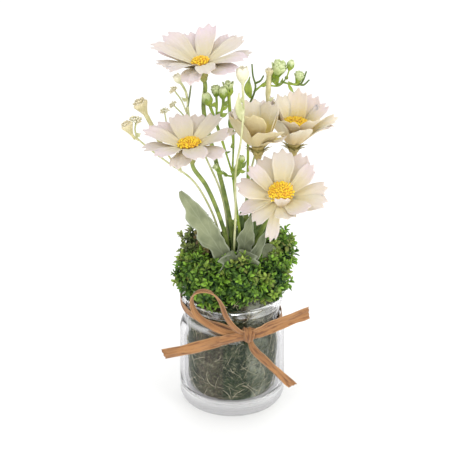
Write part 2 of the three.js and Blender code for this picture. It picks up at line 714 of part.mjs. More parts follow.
const ROSETTE_RADIUS = 4.9;
const ROSETTE_ROOT = 5.5;
const FOLIAGE_STALK = 1.1;

// Half of space, as a large box, on the side of a plane that the clump's own middle is on.
function ownSide(middle, neighbour) {
  const size = 200;
  const away = middle.clone().sub(neighbour).normalize();
  const onPlane = middle.clone().add(neighbour).multiplyScalar(0.5).addScaledVector(away, GAP / 2);
  const box = new THREE.BoxGeometry(size, size, size);
  box.translate(0, 0, size / 2);
  return stand(toSolid(box), onPlane, away);
}

// A rosette is left out where a neighbouring clump, the moss or the rim would bury it.
function isBuried(place, centre, neighbours) {
  const crossed = neighbours.some((other) => {
    const away = centre.clone().sub(other).normalize();
    const onPlane = centre.clone().add(other).multiplyScalar(0.5);
    return place.clone().sub(onPlane).dot(away) < ROSETTE_RADIUS * 0.4;
  });
  const fromAxis = Math.hypot(place.x, place.y);
  const overMouth = fromAxis < BEAD_RADIUS + 2;
  return crossed || place.z < JAR_HEIGHT + (overMouth ? 4 : 0) || fromAxis < 9;
}

// The clump's core: a ball whose surface is drawn out into small leaning leaves.
function leafyCore(middle, radii, random) {
  const ball = new THREE.IcosahedronGeometry(1, 2);
  ball.deleteAttribute('normal');
  ball.deleteAttribute('uv');
  const core = mergeVertices(ball, 1e-4);
  const place = core.attributes.position;
  const tips = [];
  for (let i = 0; i < place.count; i += 1) {
    const point = new THREE.Vector3().fromBufferAttribute(place, i);
    const isTip = tips.every((tip) => tip.distanceTo(point) > 0.5);
    if (isTip) tips.push(point.clone());
    const lean = new THREE.Vector3(random() - 0.5, random() - 0.5, random() - 0.2);
    point.multiplyScalar(isTip ? 0.98 : 0.62).addScaledVector(lean, isTip ? 0.35 : 0.08);
    point.multiply(vec(radii)).add(vec(middle));
    place.setXYZ(i, point.x, point.y, point.z);
  }
  return toSolid(core);
}

function clumpSolid({ seed, middle, radii, root }) {
  const random = seeded(seed);
  const centre = vec(middle);
  const parts = [leafyCore(middle, radii, random)];
  const neighbours = CLUMPS.map((other) => vec(other.middle)).filter((other) => !other.equals(centre));
  const golden = Math.PI * (3 - Math.sqrt(5));
  for (let i = 0; i < ROSETTES; i += 1) {
    const height = 1 - (2 * (i + 0.5)) / ROSETTES;
    const around = golden * i + random() * 0.2;
    const flat = Math.sqrt(1 - height * height);
    const outward = new THREE.Vector3(flat * Math.cos(around), flat * Math.sin(around), height);
    const reach = 0.86 + 0.2 * random();
    const place = outward.clone().multiply(vec(radii)).multiplyScalar(reach).add(centre);
    const aim = outward.clone().add(new THREE.Vector3(0, 0, 0.25)).normalize();
    const radius = ROSETTE_RADIUS * (0.85 + 0.3 * random());
    const lift = 0.35 + 0.3 * random();
    const turn = random() * 2;
    if (isBuried(place, centre, neighbours)) continue;
    parts.push(stand(star(ROSETTE_LEAVES, radius, lift, ROSETTE_ROOT, turn), place, aim));
  }
  const crown = neighbours.reduce((kept, other) => kept.intersect(ownSide(centre, other)), join(parts));
  const stalk = tube([[...root, ROOT_Z + 4], [...root, 76], [...root, 86],
    [(root[0] + middle[0]) / 2, (root[1] + middle[1]) / 2, 93], middle], FOLIAGE_STALK, 3, 4);
  return { crown, stalk };
}

// Everything that stands among the clumps, a little fatter than it is.
function stalkClearances() {
  const fat = STEM_RADIUS + GAP + 0.1;
  return [
    ...BLOOMS.map((bloom) => tube(stemPoints(bloom), fat, STEM_STEPS)),
    ...GREEN_SPRAYS.map(({ root, stalk }) => tube([...rooted(root), ...stalk], fat, SPRAY_STEPS)),
    ...PALE_SPRAYS.map(({ root, stalk }) => tube([...rooted(root), ...stalk], fat, SPRAY_STEPS)),
    leafyStalk(SILVER_ROOT, SILVER_FORK, SILVER_LEAVES, LEAF_ROWS, GAP),
    leafyStalk(NARROW_ROOT, NARROW_FORK, NARROW_LEAVES, NARROW_ROWS, GAP),
    ...[SILVER_FORK, NARROW_FORK].map((fork) => toSolid(
      new THREE.IcosahedronGeometry(FORK_ROOM, 1).translate(...fork))),
  ];
}

// ---------------------------------------------------------------- moss filling

function mossSolid(extra = 0) {
  return turned([
    [0, FLOOR + 1 - extra], [MOSS_BODY_RADIUS - 7.5 + extra, FLOOR + 1 - extra],
    [MOSS_BODY_RADIUS - 2.6 + extra, FLOOR + 7], [MOSS_BODY_RADIUS + extra, 50],
    [MOSS_NECK_RADIUS + extra, NECK_Z], [MOSS_NECK_RADIUS + extra, 73],
    [MOSS_NECK_RADIUS - 3 + extra, 79], [16, 83 + extra], [0, MOSS_TOP + extra],
  ], MOSS_SEGMENTS);
}

// A plain upright hole for a stalk of this radius.
function rootHole([x, y], radius) {
  const height = 40;
  const hole = new THREE.CylinderGeometry(radius + HOLE_PLAY, radius + HOLE_PLAY, height, 6);
  hole.rotateX(Math.PI / 2);
  hole.translate(x, y, HOLE_Z + height / 2);
  return toSolid(hole);
}

function rootHoles() {
  return [
    ...BLOOMS.map(({ root }) => rootHole(root, STEM_RADIUS)),
    ...GREEN_SPRAYS.map(({ root }) => rootHole(root, SPRAY_RADIUS)),
    ...PALE_SPRAYS.map(({ root }) => rootHole(root, PALE_RADIUS)),
    ...CLUMPS.map(({ root }) => rootHole(root, FOLIAGE_STALK)),
    rootHole(SILVER_ROOT, PALE_RADIUS),
    rootHole(NARROW_ROOT, PALE_RADIUS),
  ];
}

// ---------------------------------------------------------------- raffia tie

const KNOT = [10, -36.8, 65];
const KNOT_HALF = [4, 2.9, 5];
const BAND_ROWS = 20;

// Points of the free strips, from the knot outward; across is the width's direction.
const STRIPS = [
  { width: [4.5, 7.4], across: [[-0.25, 0, 1], [-0.2, 0.1, 1]], crease: 0.9,
    points: [KNOT, [-3, -40.5, 63.8], [-11.2, -41.5, 62.2], [-27.4, -43, 58.2], [-44.5, -44, 55]] },
  { width: [4.5, 8.2], across: [[-0.3, 0, 1], [-0.25, 0, 1]], crease: 0.8,
    points: [KNOT, [16, -39.6, 67.6], [25, -39.5, 72], [37, -37, 76], [49.5, -33.5, 79.6]] },
  { width: [3.6, 5.6], across: [[0.75, 0, 0.7], [0.7, 0, 0.72]], crease: 0.6,
    points: [KNOT, [13.5, -40, 57], [21.1, -41, 48.6], [31, -41.6, 38.8], [39.4, -42, 30.6]] },
];
const LOOP_POINTS = [KNOT, [3, -40, 70], [-4, -41, 80], [-8.6, -41.5, 92.5], [-14.5, -41.5, 98.3],
  [-21, -41, 98.6], [-25.6, -40, 94.5], [-26, -38.5, 87.5], [-23, -38.5, 80.5], [-15, -38, 73],
  [-4, -38.4, 67.5], KNOT];
const LOOP_ACROSS = [[0.85, -0.2, 0.5], [0.8, -0.3, 0.45], [0.75, -0.45, 0.4], [0.5, -0.8, 0.2],
  [0.1, -1, 0], [0, -1, 0], [-0.25, -1, 0], [-0.5, -0.85, 0.1], [-0.4, -0.7, -0.5],
  [-0.3, -0.5, -0.8], [-0.1, -0.3, -0.95], [0, -0.2, -1]];
const LOOP_WIDTH = 4.6;

// A flat strip along its points, folded a little down its middle.
function strip({ points, across, width, crease }, rows) {
  const curve = new THREE.CatmullRomCurve3(points.map(vec), false, 'centripetal');
  const sides = new THREE.CatmullRomCurve3(across.map(vec), false, 'centripetal');
  return sheet(2, rows, RAFFIA_THICKNESS, (u, v) => {
    const forward = curve.getTangent(v);
    const side = sides.getPoint(v);
    side.addScaledVector(forward, -side.dot(forward)).normalize();
    const face = side.clone().cross(forward);
    const spread = THREE.MathUtils.lerp(width[0], width[1], Math.min(1, v * 2.2));
    return curve.getPoint(v)
      .addScaledVector(side, (u - 0.5) * spread)
      .addScaledVector(face, crease * (1 - Math.abs(2 * u - 1)));
  });
}

// The band leaves the knot to the left, goes round behind, and comes back lower on the right.
function band() {
  const knotBearing = (Math.atan2(KNOT[1], KNOT[0]) * 180) / Math.PI;
  const knotReach = Math.hypot(KNOT[0], KNOT[1]);
  return sheet(1, BAND_ROWS, RAFFIA_THICKNESS, (u, v) => {
    const bearing = rad(knotBearing - 360 * v);
    const middleZ = 68 - 5.5 * Math.cos(bearing + rad(12));
    const width = v < 0.5 ? 6.6 - 4.4 * v : 4.4;
    const edgeZ = middleZ + (u - 0.5) * width;
    const covered = [0, 0.25, 0.5].map((part) => middleZ + (u - 0.5) * 2 * part * width);
    const clear = Math.max(...covered.map(glassRadius)) + 0.95;
    const nearKnot = Math.max(0, 1 - Math.min(v, 1 - v) * 14);
    const reach = THREE.MathUtils.lerp(clear, knotReach, nearKnot ** 1.5);
    return new THREE.Vector3(reach * Math.cos(bearing), reach * Math.sin(bearing),
      THREE.MathUtils.lerp(edgeZ, KNOT[2] + (u - 0.5) * 5, nearKnot));
  });
}

// The knot is a strip wound on itself: an egg with folds running round it.
function knot() {
  const egg = new THREE.SphereGeometry(1, 8, 6);
  const place = egg.attributes.position;
  for (let i = 0; i < place.count; i += 1) {
    const [x, y, z] = [place.getX(i), place.getY(i), place.getZ(i)];
    const fold = 1 + 0.09 * Math.cos(9 * x + 1);
    place.setXYZ(i, x * KNOT_HALF[0], z * KNOT_HALF[1] * fold, y * KNOT_HALF[2] * fold);
  }
  egg.scale(1, -1, 1);
  egg.translate(...KNOT);
  return toSolid(egg);
}

function raffiaTie() {
  const loop = strip({ points: LOOP_POINTS, across: LOOP_ACROSS,
    width: [LOOP_WIDTH, LOOP_WIDTH], crease: 0.3 }, 16);
  return join([knot(), band(), loop, ...STRIPS.map((piece) => strip(piece, 5))]);
}

// ---------------------------------------------------------------- the whole arrangement

addPart('jar', jar, COLOURS.glass, 0.05);

const moss = rootHoles().reduce((solid, hole) => solid.subtract(hole), mossSolid());
addPart('moss_filling', moss, COLOURS.moss, 0.95);

const inTheWay = [rimClearance(), mossSolid(GAP), ...stalkClearances()];
for (const clump of CLUMPS) {
  const { crown, stalk } = clumpSolid(clump);
  const clear = inTheWay.reduce((kept, other) => kept.subtract(other), crown);
  addPart(clump.name, join([clear, stalk]), clump.dry ? COLOURS.dryFoliage : COLOURS.foliage, 0.6);
}

for (const bloom of BLOOMS) {
  addPart(`${bloom.name}_petals`, join([bloomPetals(bloom)]), COLOURS.petal);
  addPart(`${bloom.name}_disc`, bloomDisc(bloom), COLOURS.disc);
  addPart(`${bloom.name}_stem`, bloomStem(bloom), COLOURS.stem);
}

for (const plant of GREEN_SPRAYS) {
  addPart(plant.name, spray(plant, SPRAY_RADIUS, bud, 2.1), COLOURS.spray);
}
for (const plant of PALE_SPRAYS) {
  addPart(plant.name, spray(plant, PALE_RADIUS, trumpet, 2.3), COLOURS.pale);
}

const silver = leafyStalk(SILVER_ROOT, SILVER_FORK, SILVER_LEAVES, LEAF_ROWS);
addPart('silver_leaves', silver, COLOURS.silver);
const narrow = leafyStalk(NARROW_ROOT, NARROW_FORK, NARROW_LEAVES, NARROW_ROWS);
addPart('narrow_leaves', narrow, COLOURS.narrow);
addPart('raffia_tie', raffiaTie(), COLOURS.raffia, 0.85);

export default arrangement;
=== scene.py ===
"""Cut daisy chrysanthemums with sprays and foliage in a clear glass jar, tied with raffia.

Lengths are in millimetres until a mesh is made. -Y is the front and +Z is up.
"""
import math

import bpy
import numpy as np
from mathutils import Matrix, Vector


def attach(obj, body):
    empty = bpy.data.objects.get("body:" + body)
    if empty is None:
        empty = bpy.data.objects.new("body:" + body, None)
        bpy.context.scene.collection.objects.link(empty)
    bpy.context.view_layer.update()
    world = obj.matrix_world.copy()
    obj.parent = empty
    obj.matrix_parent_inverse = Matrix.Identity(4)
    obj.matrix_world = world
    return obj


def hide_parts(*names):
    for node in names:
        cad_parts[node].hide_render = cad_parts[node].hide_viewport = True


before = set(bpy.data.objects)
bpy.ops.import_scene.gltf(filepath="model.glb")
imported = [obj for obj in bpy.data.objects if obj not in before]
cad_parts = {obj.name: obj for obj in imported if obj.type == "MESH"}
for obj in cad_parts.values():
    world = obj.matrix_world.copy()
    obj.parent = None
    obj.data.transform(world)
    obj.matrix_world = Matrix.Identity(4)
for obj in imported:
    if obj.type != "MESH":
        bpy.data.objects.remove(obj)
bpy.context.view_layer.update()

MM = 0.001

# ---------------------------------------------------------------- sizes of the jar and of thin pieces

JAR_RADIUS = 35
JAR_HEIGHT = 78.5
JAR_FOOT_RADIUS = 26
JAR_SHOULDER_Z = 53.5
NECK_RADIUS = 31.6
NECK_Z = 62
BEAD_RADIUS = 32.8
BEAD_Z = 69
MOUTH_RADIUS = 29.4
JAR_WALL = 3
JAR_FLOOR = 6.5
MOSS_TOP = 84.5
MOSS_NECK_RADIUS = 28.7
MOSS_BODY_RADIUS = 30.2
ROOT_Z = 62

PETAL_THICKNESS = 0.3
BRACT_THICKNESS = 0.3
BUD_PETAL_THICKNESS = 0.24
LEAF_THICKNESS = 0.5
SMALL_LEAF_THICKNESS = 0.4
RAFFIA_THICKNESS = 0.6

# Angles between one sprig, floret or leaflet and the next in a spiral.
GOLDEN_TURN = 2.39996
SPIRAL_TURN = 2.4


# ---------------------------------------------------------------- chance, curves and meshes

def seeded(seed):
    """The same short random series for the same seed."""
    state = seed & 0xFFFFFFFF

    def draw():
        nonlocal state
        state = (state + 0x6D2B79F5) & 0xFFFFFFFF
        mixed = ((state ^ (state >> 15)) * (state | 1)) & 0xFFFFFFFF
        mixed ^= (mixed + (mixed ^ (mixed >> 7)) * (mixed | 61)) & 0xFFFFFFFF
        return ((mixed ^ (mixed >> 14)) & 0xFFFFFFFF) / 4294967296

    return draw


def unit(v):
    v = np.asarray(v, float)
    return v / np.maximum(np.linalg.norm(v, axis=-1, keepdims=True), 1e-9)


def mix(a, b, t):
    return a + (b - a) * t


def bent(start, over, end, t):
    """A point on the curve from start to end that is drawn towards over, at t from 0 to 1."""
    return (1 - t) ** 2 * start + 2 * t * (1 - t) * over + t * t * end


def grid(rows, columns):
    """Two arrays of rows and columns: from 0 to 1 along the piece, and from 0 to 1 across it."""
    return np.meshgrid(np.linspace(0, 1, rows), np.linspace(0, 1, columns), indexing="ij")


def unrolled(rows, columns):
    """The surface coordinates of a grid of points: across, then along."""
    v, u = grid(rows, columns)
    return np.stack([u, v], -1).reshape(-1, 2)


def round_angles(sides):
    return np.linspace(0, 2 * np.pi, sides, endpoint=False)


def direction(lean, bearing):
    """A vector of length 1 that leans from +Z by an angle, towards a bearing."""
    return np.array([math.sin(lean) * math.cos(bearing), math.sin(lean) * math.sin(bearing),
                     math.cos(lean)])


def swung(out, side, height, bearing):
    """Points that lie out from +Z and off to one side, swung round it to a bearing."""
    return np.stack([out * math.cos(bearing) - side * math.sin(bearing),
                     out * math.sin(bearing) + side * math.cos(bearing), height], -1)


def squared(side, ahead):
    """Each sideways vector, made square to the way ahead."""
    return unit(side - ahead * np.sum(side * ahead, axis=1, keepdims=True))


def curve_points(points, t):
    """A smooth curve through the points (centripetal), at parameters t from 0 to 1."""
    points = np.asarray(points, float)
    last = len(points) - 1
    padded = np.vstack([2 * points[0] - points[1], points, 2 * points[-1] - points[-2]])
    place = np.clip(t, 0, 1) * last
    k = np.minimum(place.astype(int), last - 1)
    s = (place - k)[:, None]
    p0, p1, p2, p3 = padded[k], padded[k + 1], padded[k + 2], padded[k + 3]
    d0, d1, d2 = [np.maximum(np.linalg.norm(b - a, axis=1, keepdims=True), 1e-6) ** 0.5
                  for a, b in ((p0, p1), (p1, p2), (p2, p3))]
    m1 = ((p1 - p0) / d0 - (p2 - p0) / (d0 + d1) + (p2 - p1) / d1) * d1
    m2 = ((p2 - p1) / d1 - (p3 - p1) / (d1 + d2) + (p3 - p2) / d2) * d1
    return (p1 + m1 * s + (3 * p2 - 3 * p1 - 2 * m1 - m2) * s ** 2
            + (2 * p1 - 2 * p2 + m1 + m2) * s ** 3)


def even_points(points, count):
    """count points spaced evenly along the curve through the points."""
    fine = curve_points(points, np.linspace(0, 1, 400))
    run = np.concatenate([[0], np.cumsum(np.linalg.norm(np.diff(fine, axis=0), axis=1))])
    at = np.linspace(0, run[-1], count)
    return np.stack([np.interp(at, run, fine[:, i]) for i in range(3)], axis=1)


def tangents(path):
    return unit(np.gradient(path, axis=0))


class Pile:
    """Points and faces of one piece, gathered before its mesh is made."""

    def __init__(self):
        self.points, self.faces, self.along, self.tones = [], [], [], []
        self.count = 0

    def add(self, points, faces, along, tone):
        """along: two surface coordinates a point. tone: three shading values, one set or one a point."""
        points = np.asarray(points, float)
        size = len(points)
        self.points.append(points)
        self.along.append(np.broadcast_to(np.asarray(along, float), (size, 2)))
        self.tones.append(np.broadcast_to(np.asarray(tone, float), (size, 3)))
        self.faces.extend([[i + self.count for i in face] for face in faces])
        self.count += size

    def piece(self, name, material, nodes, slot):
        """Makes the mesh object, lets it ride on the part and stand for the CAD nodes."""
        mesh = bpy.data.meshes.new(name)
        points = np.concatenate(self.points)
        mesh.from_pydata((points * MM).tolist(), [], self.faces)
        corners = np.zeros(len(mesh.loops), np.int32)
        mesh.loops.foreach_get("vertex_index", corners)
        layer = mesh.uv_layers.new(name="along")
        layer.data.foreach_set("uv", np.concatenate(self.along)[corners].ravel().astype(np.float32))
        tone = mesh.attributes.new("tone", "FLOAT_VECTOR", "POINT")
        tone.data.foreach_set("vector", np.concatenate(self.tones).ravel().astype(np.float32))
        mesh.polygons.foreach_set("use_smooth", [True] * len(mesh.polygons))
        mesh.materials.append(material)
        mesh.update()
        piece = bpy.data.objects.new("fine_" + name, mesh)
        bpy.context.scene.collection.objects.link(piece)
        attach(piece, "root")
        if nodes:
            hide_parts(*nodes)


SHEET_EDGE = 0.35


def add_sheet(pile, middle, thickness, tone, tone_back=None):
    """A thin closed sheet about a grid of middle points [along, across, 3], thinner at its edges."""
    rows, across = middle.shape[:2]
    face = unit(np.cross(np.gradient(middle, axis=1), np.gradient(middle, axis=0)))
    edge = np.ones((rows, across, 1))
    edge[:, [0, -1]] = SHEET_EDGE
    edge[-1] = SHEET_EDGE
    offset = face * edge * thickness / 2
    count = rows * across
    faces = []
    for j in range(rows - 1):
        for i in range(across - 1):
            k = j * across + i
            quad = (k, k + 1, k + across + 1, k + across)
            faces.append(quad)
            faces.append(tuple(count + q for q in reversed(quad)))
    rim = list(range(across - 1))
    rim += [j * across + across - 1 for j in range(rows - 1)]
    rim += [(rows - 1) * across + i for i in range(across - 1, 0, -1)]
    rim += [j * across for j in range(rows - 1, 0, -1)]
    for here, after in zip(rim, rim[1:] + rim[:1]):
        faces.append((after, here, count + here, count + after))
    back = tone if tone_back is None else tone_back
    tones = np.concatenate([np.broadcast_to(tone, (count, 3)), np.broadcast_to(back, (count, 3))])
    both = np.concatenate([(middle + offset).reshape(-1, 3), (middle - offset).reshape(-1, 3)])
    pile.add(both, faces, np.tile(unrolled(rows, across), (2, 1)), tones)


def rings_to_faces(rings, sides):
    """Faces of a closed skin over rings of points, with one flat face at each end."""
    faces = [tuple(reversed(range(sides)))]
    for j in range(rings - 1):
        for i in range(sides):
            a, b = j * sides + i, j * sides + (i + 1) % sides
            faces.append((a, b, b + sides, a + sides))
    faces.append(tuple((rings - 1) * sides + i for i in range(sides)))
    return faces


def add_tube(pile, path, radii, sides, tone, flute=0.0, flutes=5):
    """A round stalk along the path. flute cuts shallow grooves along it."""
    path = np.asarray(path, float)
    forward = tangents(path)
    radii = np.broadcast_to(np.asarray(radii, float), (len(path),))
    side = unit(np.cross(forward[0], [0.31, 0.87, 0.38]))
    angle = round_angles(sides)
    grooves = 1 + flute * np.cos(flutes * angle)
    rings = []
    for centre, ahead, radius in zip(path, forward, radii):
        side = unit(side - ahead * np.dot(side, ahead))
        up = np.cross(ahead, side)
        rings.append(centre + radius * grooves[:, None]
                     * (np.cos(angle)[:, None] * side + np.sin(angle)[:, None] * up))
    pile.add(np.concatenate(rings), rings_to_faces(len(path), sides), unrolled(len(path), sides), tone)


def axes_for(axis):
    """Rows are the axes of a body whose own +Z lies along axis."""
    axis = unit(axis)
    side = unit(np.cross([0, 1, 0.001], axis))
    return np.stack([side, np.cross(axis, side), axis])


def add_turned(pile, profile, sides, tone, place=(0, 0, 0), axis=(0, 0, 1), lobes=0, lobe=0.0):
    """A turned body from [radius, height] points, stood at a place with its axis turned.

    The first and last point lie off the axis by a hair, and are closed by a flat face.
    lobe draws the skin in and out by that part of its radius, more towards the end.
    """
    profile = np.asarray(profile, float)
    angle = round_angles(sides)
    growth = np.linspace(0, 1, len(profile))[:, None]
    wave = 1 + lobe * growth * np.cos(lobes * angle)[None]
    radius = profile[:, :1] * wave
    body = np.stack([radius * np.cos(angle), radius * np.sin(angle),
                     np.broadcast_to(profile[:, 1:], radius.shape)], -1).reshape(-1, 3)
    pile.add(body @ axes_for(axis) + np.asarray(place, float),
             rings_to_faces(len(profile), sides), unrolled(len(profile), sides), tone)


# ---------------------------------------------------------------- shader node helpers

def node_group(name, inputs, outputs):
    """An empty node group with named number sockets."""
    group = bpy.data.node_groups.new(name, "ShaderNodeTree")
    for label, value in inputs.items():
        socket = group.interface.new_socket(label, in_out="INPUT", socket_type="NodeSocketFloat")
        socket.default_value = value
    for label in outputs:
        group.interface.new_socket(label, in_out="OUTPUT", socket_type="NodeSocketFloat")
    return group, group.nodes.new("NodeGroupInput"), group.nodes.new("NodeGroupOutput")


class Wiring:
    """Adds nodes to a tree. A value may be a number, a colour or another node's output."""

    def __init__(self, tree):
        self.tree = tree

    def set(self, socket, value):
        if isinstance(value, bpy.types.NodeSocket):
            self.tree.links.new(value, socket)
        elif isinstance(value, tuple):
            socket.default_value = (*value, 1)
        else:
            socket.default_value = value

    def feed(self, node, **values):
        """Sets or links a node's inputs by name, with _ for a space."""
        for label, value in values.items():
            self.set(node.inputs[label.replace("_", " ")], value)

    def group(self, tree, **values):
        node = self.tree.nodes.new("ShaderNodeGroup")
        node.node_tree = tree
        self.feed(node, **values)
        return node.outputs

    def math(self, operation, a, b=0.0, clamp=False):
        node = self.tree.nodes.new("ShaderNodeMath")
        node.operation = operation
        node.use_clamp = clamp
        self.set(node.inputs[0], a)
        self.set(node.inputs[1], b)
        return node.outputs[0]

    def ramp(self, value, low, high, to_low=0.0, to_high=1.0):
        """A smooth step of a value from low to high."""
        node = self.tree.nodes.new("ShaderNodeMapRange")
        node.interpolation_type = "SMOOTHSTEP"
        self.feed(node, Value=value, From_Min=low, From_Max=high, To_Min=to_low, To_Max=to_high)
        return node.outputs["Result"]

    def band(self, value, low, high, soft):
        """1 where a place in metres lies between low and high, with soft sides, all three in mm."""
        rise = self.ramp(value, low * MM, (low + soft) * MM)
        return self.math("MULTIPLY", rise, self.ramp(value, high * MM, (high - soft) * MM))

    def blend(self, amount, a, b):
        """Colours a and b mixed by the amount."""
        node = self.tree.nodes.new("ShaderNodeMix")
        node.data_type = "RGBA"
        colour_sockets = node.inputs[6], node.inputs[7]
        self.set(node.inputs["Factor"], amount)
        for socket, colour in zip(colour_sockets, (a, b)):
            self.set(socket, colour)
        return node.outputs[2]

    def tint(self, mask, most, colour, other):
        """A colour that goes towards another one with the mask, by most where the mask is 1."""
        return self.blend(self.math("MULTIPLY", mask, most), colour, other)

    def noise(self, vector, scale, detail=3.0, roughness=0.5):
        node = self.tree.nodes.new("ShaderNodeTexNoise")
        self.feed(node, Vector=vector, Scale=scale, Detail=detail, Roughness=roughness)
        return node.outputs["Fac"]

    def combine(self, x, y, z):
        node = self.tree.nodes.new("ShaderNodeCombineXYZ")
        self.feed(node, X=x, Y=y, Z=z)
        return node.outputs[0]

    def separate(self, vector):
        node = self.tree.nodes.new("ShaderNodeSeparateXYZ")
        self.set(node.inputs[0], vector)
        return node.outputs

    def bump(self, height, strength, distance):
        node = self.tree.nodes.new("ShaderNodeBump")
        self.feed(node, Height=height, Strength=strength, Distance=distance)
        return node.outputs[0]

    def along(self):
        """The two surface coordinates: across and along the piece."""
        node = self.tree.nodes.new("ShaderNodeUVMap")
        node.uv_map = "along"
        return self.separate(node.outputs[0])

    def off_middle(self, across):
        """How far a point lies from the middle line of its piece: 0.5 at the edges."""
        return self.math("ABSOLUTE", self.math("SUBTRACT", across, 0.5))

    def tone(self):
        node = self.tree.nodes.new("ShaderNodeAttribute")
        node.attribute_name = "tone"
        return self.separate(node.outputs["Vector"])

    def place(self):
        return self.tree.nodes.new("ShaderNodeTexCoord").outputs["Object"]


def finish_material(name, **fixed):
    """A material with its shader. fixed values are set on the shader's own sockets."""
    material = bpy.data.materials.new(name)
    material.use_nodes = True
    shader = material.node_tree.nodes["Principled BSDF"]
    for label, value in fixed.items():
        shader.inputs[label.replace("_", " ")].default_value = value
    return material, shader, Wiring(material.node_tree)


# ---------------------------------------------------------------- shared surface effects

def make_fibre_lines():
    """Fine lines that run along a petal, leaf or strip."""
    group, given, result = node_group(
        "Fibre lines", {"Across": 0.0, "Along": 0.0, "Lines": 20.0, "Seed": 0.0}, ["Lines"])
    w = Wiring(group)
    shift = w.math("MULTIPLY", given.outputs["Seed"], 31.7)
    across = w.math("MULTIPLY", given.outputs["Across"], given.outputs["Lines"])
    stretched = w.combine(w.math("ADD", across, shift), given.outputs["Along"], shift)
    w.feed(result, Lines=w.ramp(w.noise(stretched, 1.0, 4.0, 0.6), 0.3, 0.7))
    return group


def make_mottling():
    """Soft patches and a grain seven times as fine, as on leaves and moss."""
    group, given, result = node_group("Mottling", {"Size": 200.0}, ["Patches", "Grain"])
    w = Wiring(group)
    place, size = w.place(), given.outputs["Size"]
    w.feed(result, Patches=w.ramp(w.noise(place, size, 3.0), 0.35, 0.65),
           Grain=w.noise(place, w.math("MULTIPLY", size, 7.0), 2.0, 0.7))
    return group


def make_leaf_veins():
    """A middle rib with slanting side veins, from the surface coordinates of a leaf."""
    group, given, result = node_group(
        "Leaf veins", {"Across": 0.0, "Along": 0.0, "Pairs": 6.0}, ["Veins"])
    w = Wiring(group)
    side = w.off_middle(given.outputs["Across"])
    slant = w.math("SUBTRACT", given.outputs["Along"], w.math("MULTIPLY", side, 0.5))
    turns = w.math("MULTIPLY", slant, given.outputs["Pairs"])
    wave = w.math("SINE", w.math("MULTIPLY", turns, 6.283))
    side_veins = w.ramp(wave, 0.86, 1.0, 0.0, 0.6)
    w.feed(result, Veins=w.math("MAXIMUM", w.ramp(side, 0.05, 0.0), side_veins))
    return group


FIBRE_LINES = make_fibre_lines()
MOTTLING = make_mottling()
LEAF_VEINS = make_leaf_veins()


# ---------------------------------------------------------------- materials

def petal_material():
    """tone: x goes from bright and warm to a duller grey, which is painted shade set per bloom, y is how
    pink the petal is.

    z is how yellow its inner side is near the disc. It is less than 0 on the outer side, down
    to -1 where that is peach and to -1.5 where it is olive.
    """
    material, shader, w = finish_material(
        "Daisy petal", Roughness=0.6, Sheen_Weight=0.1, Subsurface_Weight=0.7,
        Subsurface_Radius=(1.0, 0.9, 0.72), Subsurface_Scale=0.0006)
    across, along, _ = w.along()
    own, pink, side_tone = w.tone()
    lines = w.group(FIBRE_LINES, Across=across, Along=along, Lines=30.0, Seed=own)[0]
    patches, grain = w.group(MOTTLING, Size=110.0)
    # Painted shade: the cream turns duller and greyer with tone x, which each bloom sets for how brightly
    # the lamps light it.
    cream = w.blend(own, (0.82, 0.76, 0.61), (0.51, 0.475, 0.425))
    cream = w.tint(patches, 0.3, cream, (0.61, 0.57, 0.40))
    reach = w.math("ADD", along, w.math("MULTIPLY", w.math("SUBTRACT", grain, 0.5), 0.45))
    blush = w.math("MULTIPLY", w.ramp(reach, 0.3, 0.95), pink)
    blushed = w.blend(blush, cream, (0.67, 0.565, 0.64))
    glow = w.math("MULTIPLY", w.ramp(reach, 0.85, 0.0), side_tone, clamp=True)
    base = w.blend(glow, blushed, (0.66, 0.545, 0.17))
    rim = w.ramp(w.off_middle(across), 0.42, 0.5, 0.0, 0.5)
    edged = w.tint(w.math("MAXIMUM", w.ramp(reach, 0.9, 1.0), rim), 0.35, base, (0.56, 0.47, 0.50))
    peach = w.blend(w.ramp(reach, 0.9, 0.05), (0.76, 0.69, 0.58), (0.64, 0.42, 0.17))
    peach = w.blend(w.ramp(side_tone, -1.0, -1.5, 0.0, 0.8), peach, (0.50, 0.42, 0.19))
    sided = w.blend(w.math("MULTIPLY", side_tone, -1.0, clamp=True), edged, peach)
    w.feed(shader, Base_Color=w.tint(lines, 0.18, sided, (0.57, 0.50, 0.34)),
           Roughness=w.ramp(lines, 0.0, 1.0, 0.55, 0.7), Normal=w.bump(lines, 0.4, 0.0002))
    return material


def disc_material():
    """tone: x is the floret's own chance value, y 0 at its foot and 1 above it."""
    material, shader, w = finish_material("Disc florets", Roughness=0.6, Sheen_Weight=0.2)
    own, top, _ = w.tone()
    patches, grain = w.group(MOTTLING, Size=700.0)
    # Painted light and shade: a floret is darker orange at its foot, where the florets shade each other,
    # and brighter towards its tip.
    lit = w.blend(w.ramp(own, 0.1, 0.9), (0.88, 0.50, 0.006), (0.95, 0.72, 0.012))
    shaded_colour = w.blend(patches, (0.58, 0.24, 0.006), (0.78, 0.40, 0.01))
    tip = w.blend(w.ramp(top, 0.1, 0.8), shaded_colour, lit)
    w.feed(shader, Base_Color=w.tint(grain, 0.25, tip, (0.98, 0.80, 0.10)),
           Normal=w.bump(grain, 0.3, 0.0002))
    return material


SHADED_GREEN = (0.045, 0.085, 0.02)


